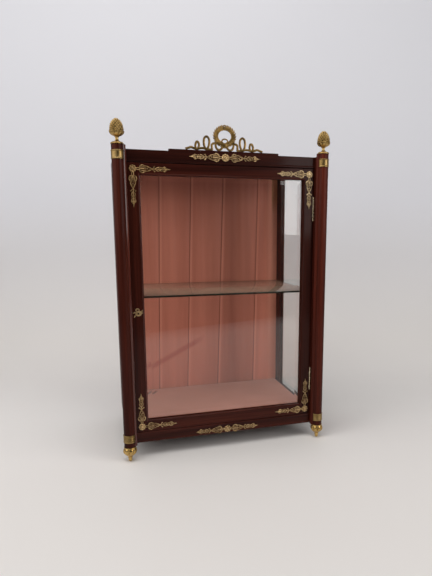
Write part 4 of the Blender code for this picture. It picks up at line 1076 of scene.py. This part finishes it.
# %% [markdown]
# The rows of points become a grid of faces, and a Solidify modifier gives the silk its thickness. The length
# of one row, pleats and all, is the width that the silk is cut to.

# %% Sheet of silk
SILK_ROWS, SILK_THICK = 48, 0.35
grid, shades = [], []
for row in range(SILK_ROWS + 1):
    share = row / SILK_ROWS
    path = silk_path(share)
    grid.append([at(x, y, SILK_HIGH + (SILK_LOW - SILK_HIGH) * share) for x, y, _ in path])
    shades += [shade for _, _, shade in path]
faces = [(a, d, c, b) for a, b, c, d in grid_faces(len(grid), len(grid[0]), closed=False)]
silk = new_mesh([point for line in grid for point in line], (), faces)
silk.data.attributes.new("shade", "FLOAT", "POINT").data.foreach_set("value", shades)
modify(silk, "SOLIDIFY", thickness=SILK_THICK * MM, offset=0)

# %% [markdown]
# Old silk is never one colour. Across the back it is painted lighter and darker in bands, painted light and
# shade; close under the top it gets painted shade, and its right end is painted paler as painted light. The
# shade of each point tints the folds, and a reddish darker band slants across the lower left. Fine slubs run
# down it and the weft across it.

# %% Silk finish
# grey levels across the back: painted light and painted shade
LIGHT_AND_SHADE_ACROSS = ((0.0, 0.98), (1.0, 1.0), (0.40, 0.98), (0.50, 0.89), (0.62, 0.79), (0.70, 0.67), (0.80, 0.76),
          (0.87, 0.95))
BAND_SLOPE, BAND_LEVEL = 0.504, -0.1645

satin = Finish("pink_silk")
bands = satin.noise((26, 26, 1.3), 3, 0.5)
slub = satin.noise((900, 900, 14), 3, 0.6)
weft = satin.noise((60, 60, 1400), 2, 0.5)
across, height = satin.coordinate("X"), satin.coordinate("Z")
shade = satin.node("Attribute", None, "Fac", attribute_name="shade")
tone = satin.ramp(bands * 0.75 + slub * 0.25, (0.32, (0.58, 0.174, 0.113)), (0.68, (0.80, 0.265, 0.180)))
# painted light and painted shade: the silk is lighter or darker in bands across the back
light_and_shade_across = satin.ramp(satin.step(across, -0.25, 0.25), *((place, (grey,) * 3) for place, grey in LIGHT_AND_SHADE_ACROSS))
tone = satin.mix(1.0, tone, light_and_shade_across, "MULTIPLY")
# painted light: the right end, in the shade of the post, is made paler
painted_light_right_end = satin.step(across, 0.212, 0.222, 0.0, 0.8)
# a brown trim at the top right corner, its tone raised as painted light against the shade there
top_corner = satin.step(across, 0.2250, 0.2262) * satin.step(height, 0.22, 0.27)
# a reddish darker band slanting across the lower left
slanting_band = satin.step(satin.math("ABSOLUTE", height - across * BAND_SLOPE - BAND_LEVEL), 0.013, 0.004)
slanting_band = slanting_band * satin.step(across, -0.190, -0.150) * satin.step(across, 0.010, -0.030)
# painted shade close under the top of the case
for part, colour in ((satin.step(height, 0.25, 0.32, 0.0, 0.35), (0.24, 0.042, 0.026)),
                     # painted highlight beside each fold and painted shade under it, from each point's shade
                     (satin.step(shade, 0.5, 1.0, 0.0, 0.45), (0.90, 0.36, 0.26)),
                     (satin.step(shade, 0.5, 0.0, 0.0, 0.75), (0.14, 0.030, 0.020)),
                     (painted_light_right_end, (0.90, 0.35, 0.24)),
                     (top_corner, (0.55, 0.200, 0.095)),
                     (slanting_band * 0.55, (0.46, 0.055, 0.034))):
    tone = satin.mix(part, tone, colour)
silk_finish = satin.surface({
    "Base Color": tone, "Roughness": satin.step(slub, 0.3, 0.7, 0.42, 0.55), "Specular IOR Level": 0.3,
    "Normal": satin.bump(slub * 0.6 + weft * 0.4, 0.15, 0.0004), "Sheen Weight": 0.08,
    "Sheen Roughness": 0.4, "Sheen Tint": (1.0, 0.70, 0.62, 1)})
settle(silk, "pleated_silk_lining", "case", "pink_silk", silk_finish, "silk_back_lining", angle=60)

# %% [markdown]
# The floor is a thin pad covered in pink cloth. Cloth simulation swells it as stuffing does: the pad starts a
# little too thin, is remeshed into even faces, and is blown up softly for twenty frames. A limit on how far a
# point may go keeps it in its place. Shallow wrinkles, one fold and edges that are tucked up at both sides
# are pressed in afterwards.

# %% Floor pad
PAD_WIDE, PAD_VOXEL, PAD_SWELL, PAD_RISE = 488.8, 4.5, 1.2, 3.2
FOLD_X, FOLD_Y, FOLD_SLOPE = 82.0, 243.0, 0.55


def swell(obj, limit, frames=20):
    """Blows the mesh up with the cloth simulation, and keeps every point within a limit of where it was."""
    before = [v.co.copy() for v in obj.data.vertices]
    cloth = obj.modifiers.new("swell", "CLOTH")
    cloth.settings.use_pressure = True
    cloth.settings.uniform_pressure_force = 4.0
    cloth.settings.effector_weights.gravity = 0.0
    cloth.point_cache.frame_start, cloth.point_cache.frame_end = 1, frames
    for frame_number in range(1, frames + 1):
        scene.frame_set(frame_number)
    alone(obj)
    bpy.ops.object.modifier_apply(modifier=cloth.name)
    scene.frame_set(1)
    for vertex, start in zip(obj.data.vertices, before):
        moved = vertex.co - start
        if moved.length > limit:
            vertex.co = start + moved * (limit / moved.length)


def wrinkle(across, deep):
    """How far the top of the pad rises, in millimetres, at a place measured from its left front corner."""
    beside = across - FOLD_X - FOLD_SLOPE * (deep - FOLD_Y)
    ridge, groove = exp(-((beside + 9) / 5) ** 2), exp(-(beside / 4) ** 2)
    fold = exp(-((deep - FOLD_Y) / 15) ** 2) * (1.92 * ridge - 1.68 * groove)
    ripple = 0.225 * sin(deep / 9) * exp(-(PAD_WIDE - across) / 16)
    roll = 0.175 * sin(across / 31 + deep / 60) * sin(deep / 43)
    tuck = (2.4 + 0.6 * sin(deep / 14)) * exp(-min(across, PAD_WIDE - across) / 5)
    return fold + ripple + roll + tuck


low, high = (Vector(corner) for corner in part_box("floor_pad"))
inset = Vector((1.6, 1.6, 0.9)) * MM
pad = block(low + inset, high - inset)
modify(pad, "BEVEL", width=1.6 * MM, segments=2)
modify(pad, "REMESH", mode="VOXEL", voxel_size=PAD_VOXEL * MM)
swell(pad, PAD_SWELL * MM)
modify(pad, "SUBSURF", levels=1, render_levels=1)
for vertex in pad.data.vertices:
    spot = vertex.co
    if spot.z > (low.z + high.z) / 2:
        spot.z += wrinkle((spot.x - low.x) / MM, (spot.y - low.y) / MM) * MM
    spot.x = min(max(spot.x, low.x), high.x)
    spot.y = min(max(spot.y, low.y), high.y)
    spot.z = min(max(spot.z, low.z), high.z + PAD_RISE * MM)
print("pad points:", len(pad.data.vertices))

# %% [markdown]
# The cloth is a plain weave: one set of fine waves along it and one across it, with soft fading and small
# flecks. The fold in the pad gets a dark line of its own, because so narrow a hollow hardly darkens itself.

# %% Cloth finish
THREADS = {"Scale": 330.0, "Distortion": 1.5}

weave = Finish("pink_cloth")
warp, woof = (weave.node("TexWave", {"Vector": weave.place(), **THREADS}, bands_direction=way)
              for way in ("X", "Y"))
fade = weave.noise((9, 9, 9), 3, 0.5)
fleck = weave.noise((700, 700, 700), 2, 0.6)
tone = weave.ramp(fade * 0.7 + fleck * 0.3, (0.32, (0.40, 0.138, 0.088)), (0.70, (0.51, 0.192, 0.130)))
fold_deep = weave.coordinate("Y") - (low.y + FOLD_Y * MM)
fold_beside = weave.coordinate("X") - (low.x + FOLD_X * MM) - fold_deep * FOLD_SLOPE
fold_line = weave.step(weave.math("ABSOLUTE", fold_beside), 0.007, 0.002)
fold_line = fold_line * weave.step(weave.math("ABSOLUTE", fold_deep), 0.018, 0.010)
tone = weave.mix(fold_line * 0.8, tone, (0.11, 0.030, 0.019))
cloth_finish = weave.surface({
    "Base Color": tone, "Roughness": weave.step(fleck, 0.3, 0.7, 0.75, 0.9),
    "Normal": weave.bump(warp * 0.5 + woof * 0.5 + fleck * 0.3, 0.25, 0.0004), "Sheen Weight": 0.2})
settle(pad, "cloth_floor_pad", "case", "pink_cloth", cloth_finish, "floor_pad", angle=80)
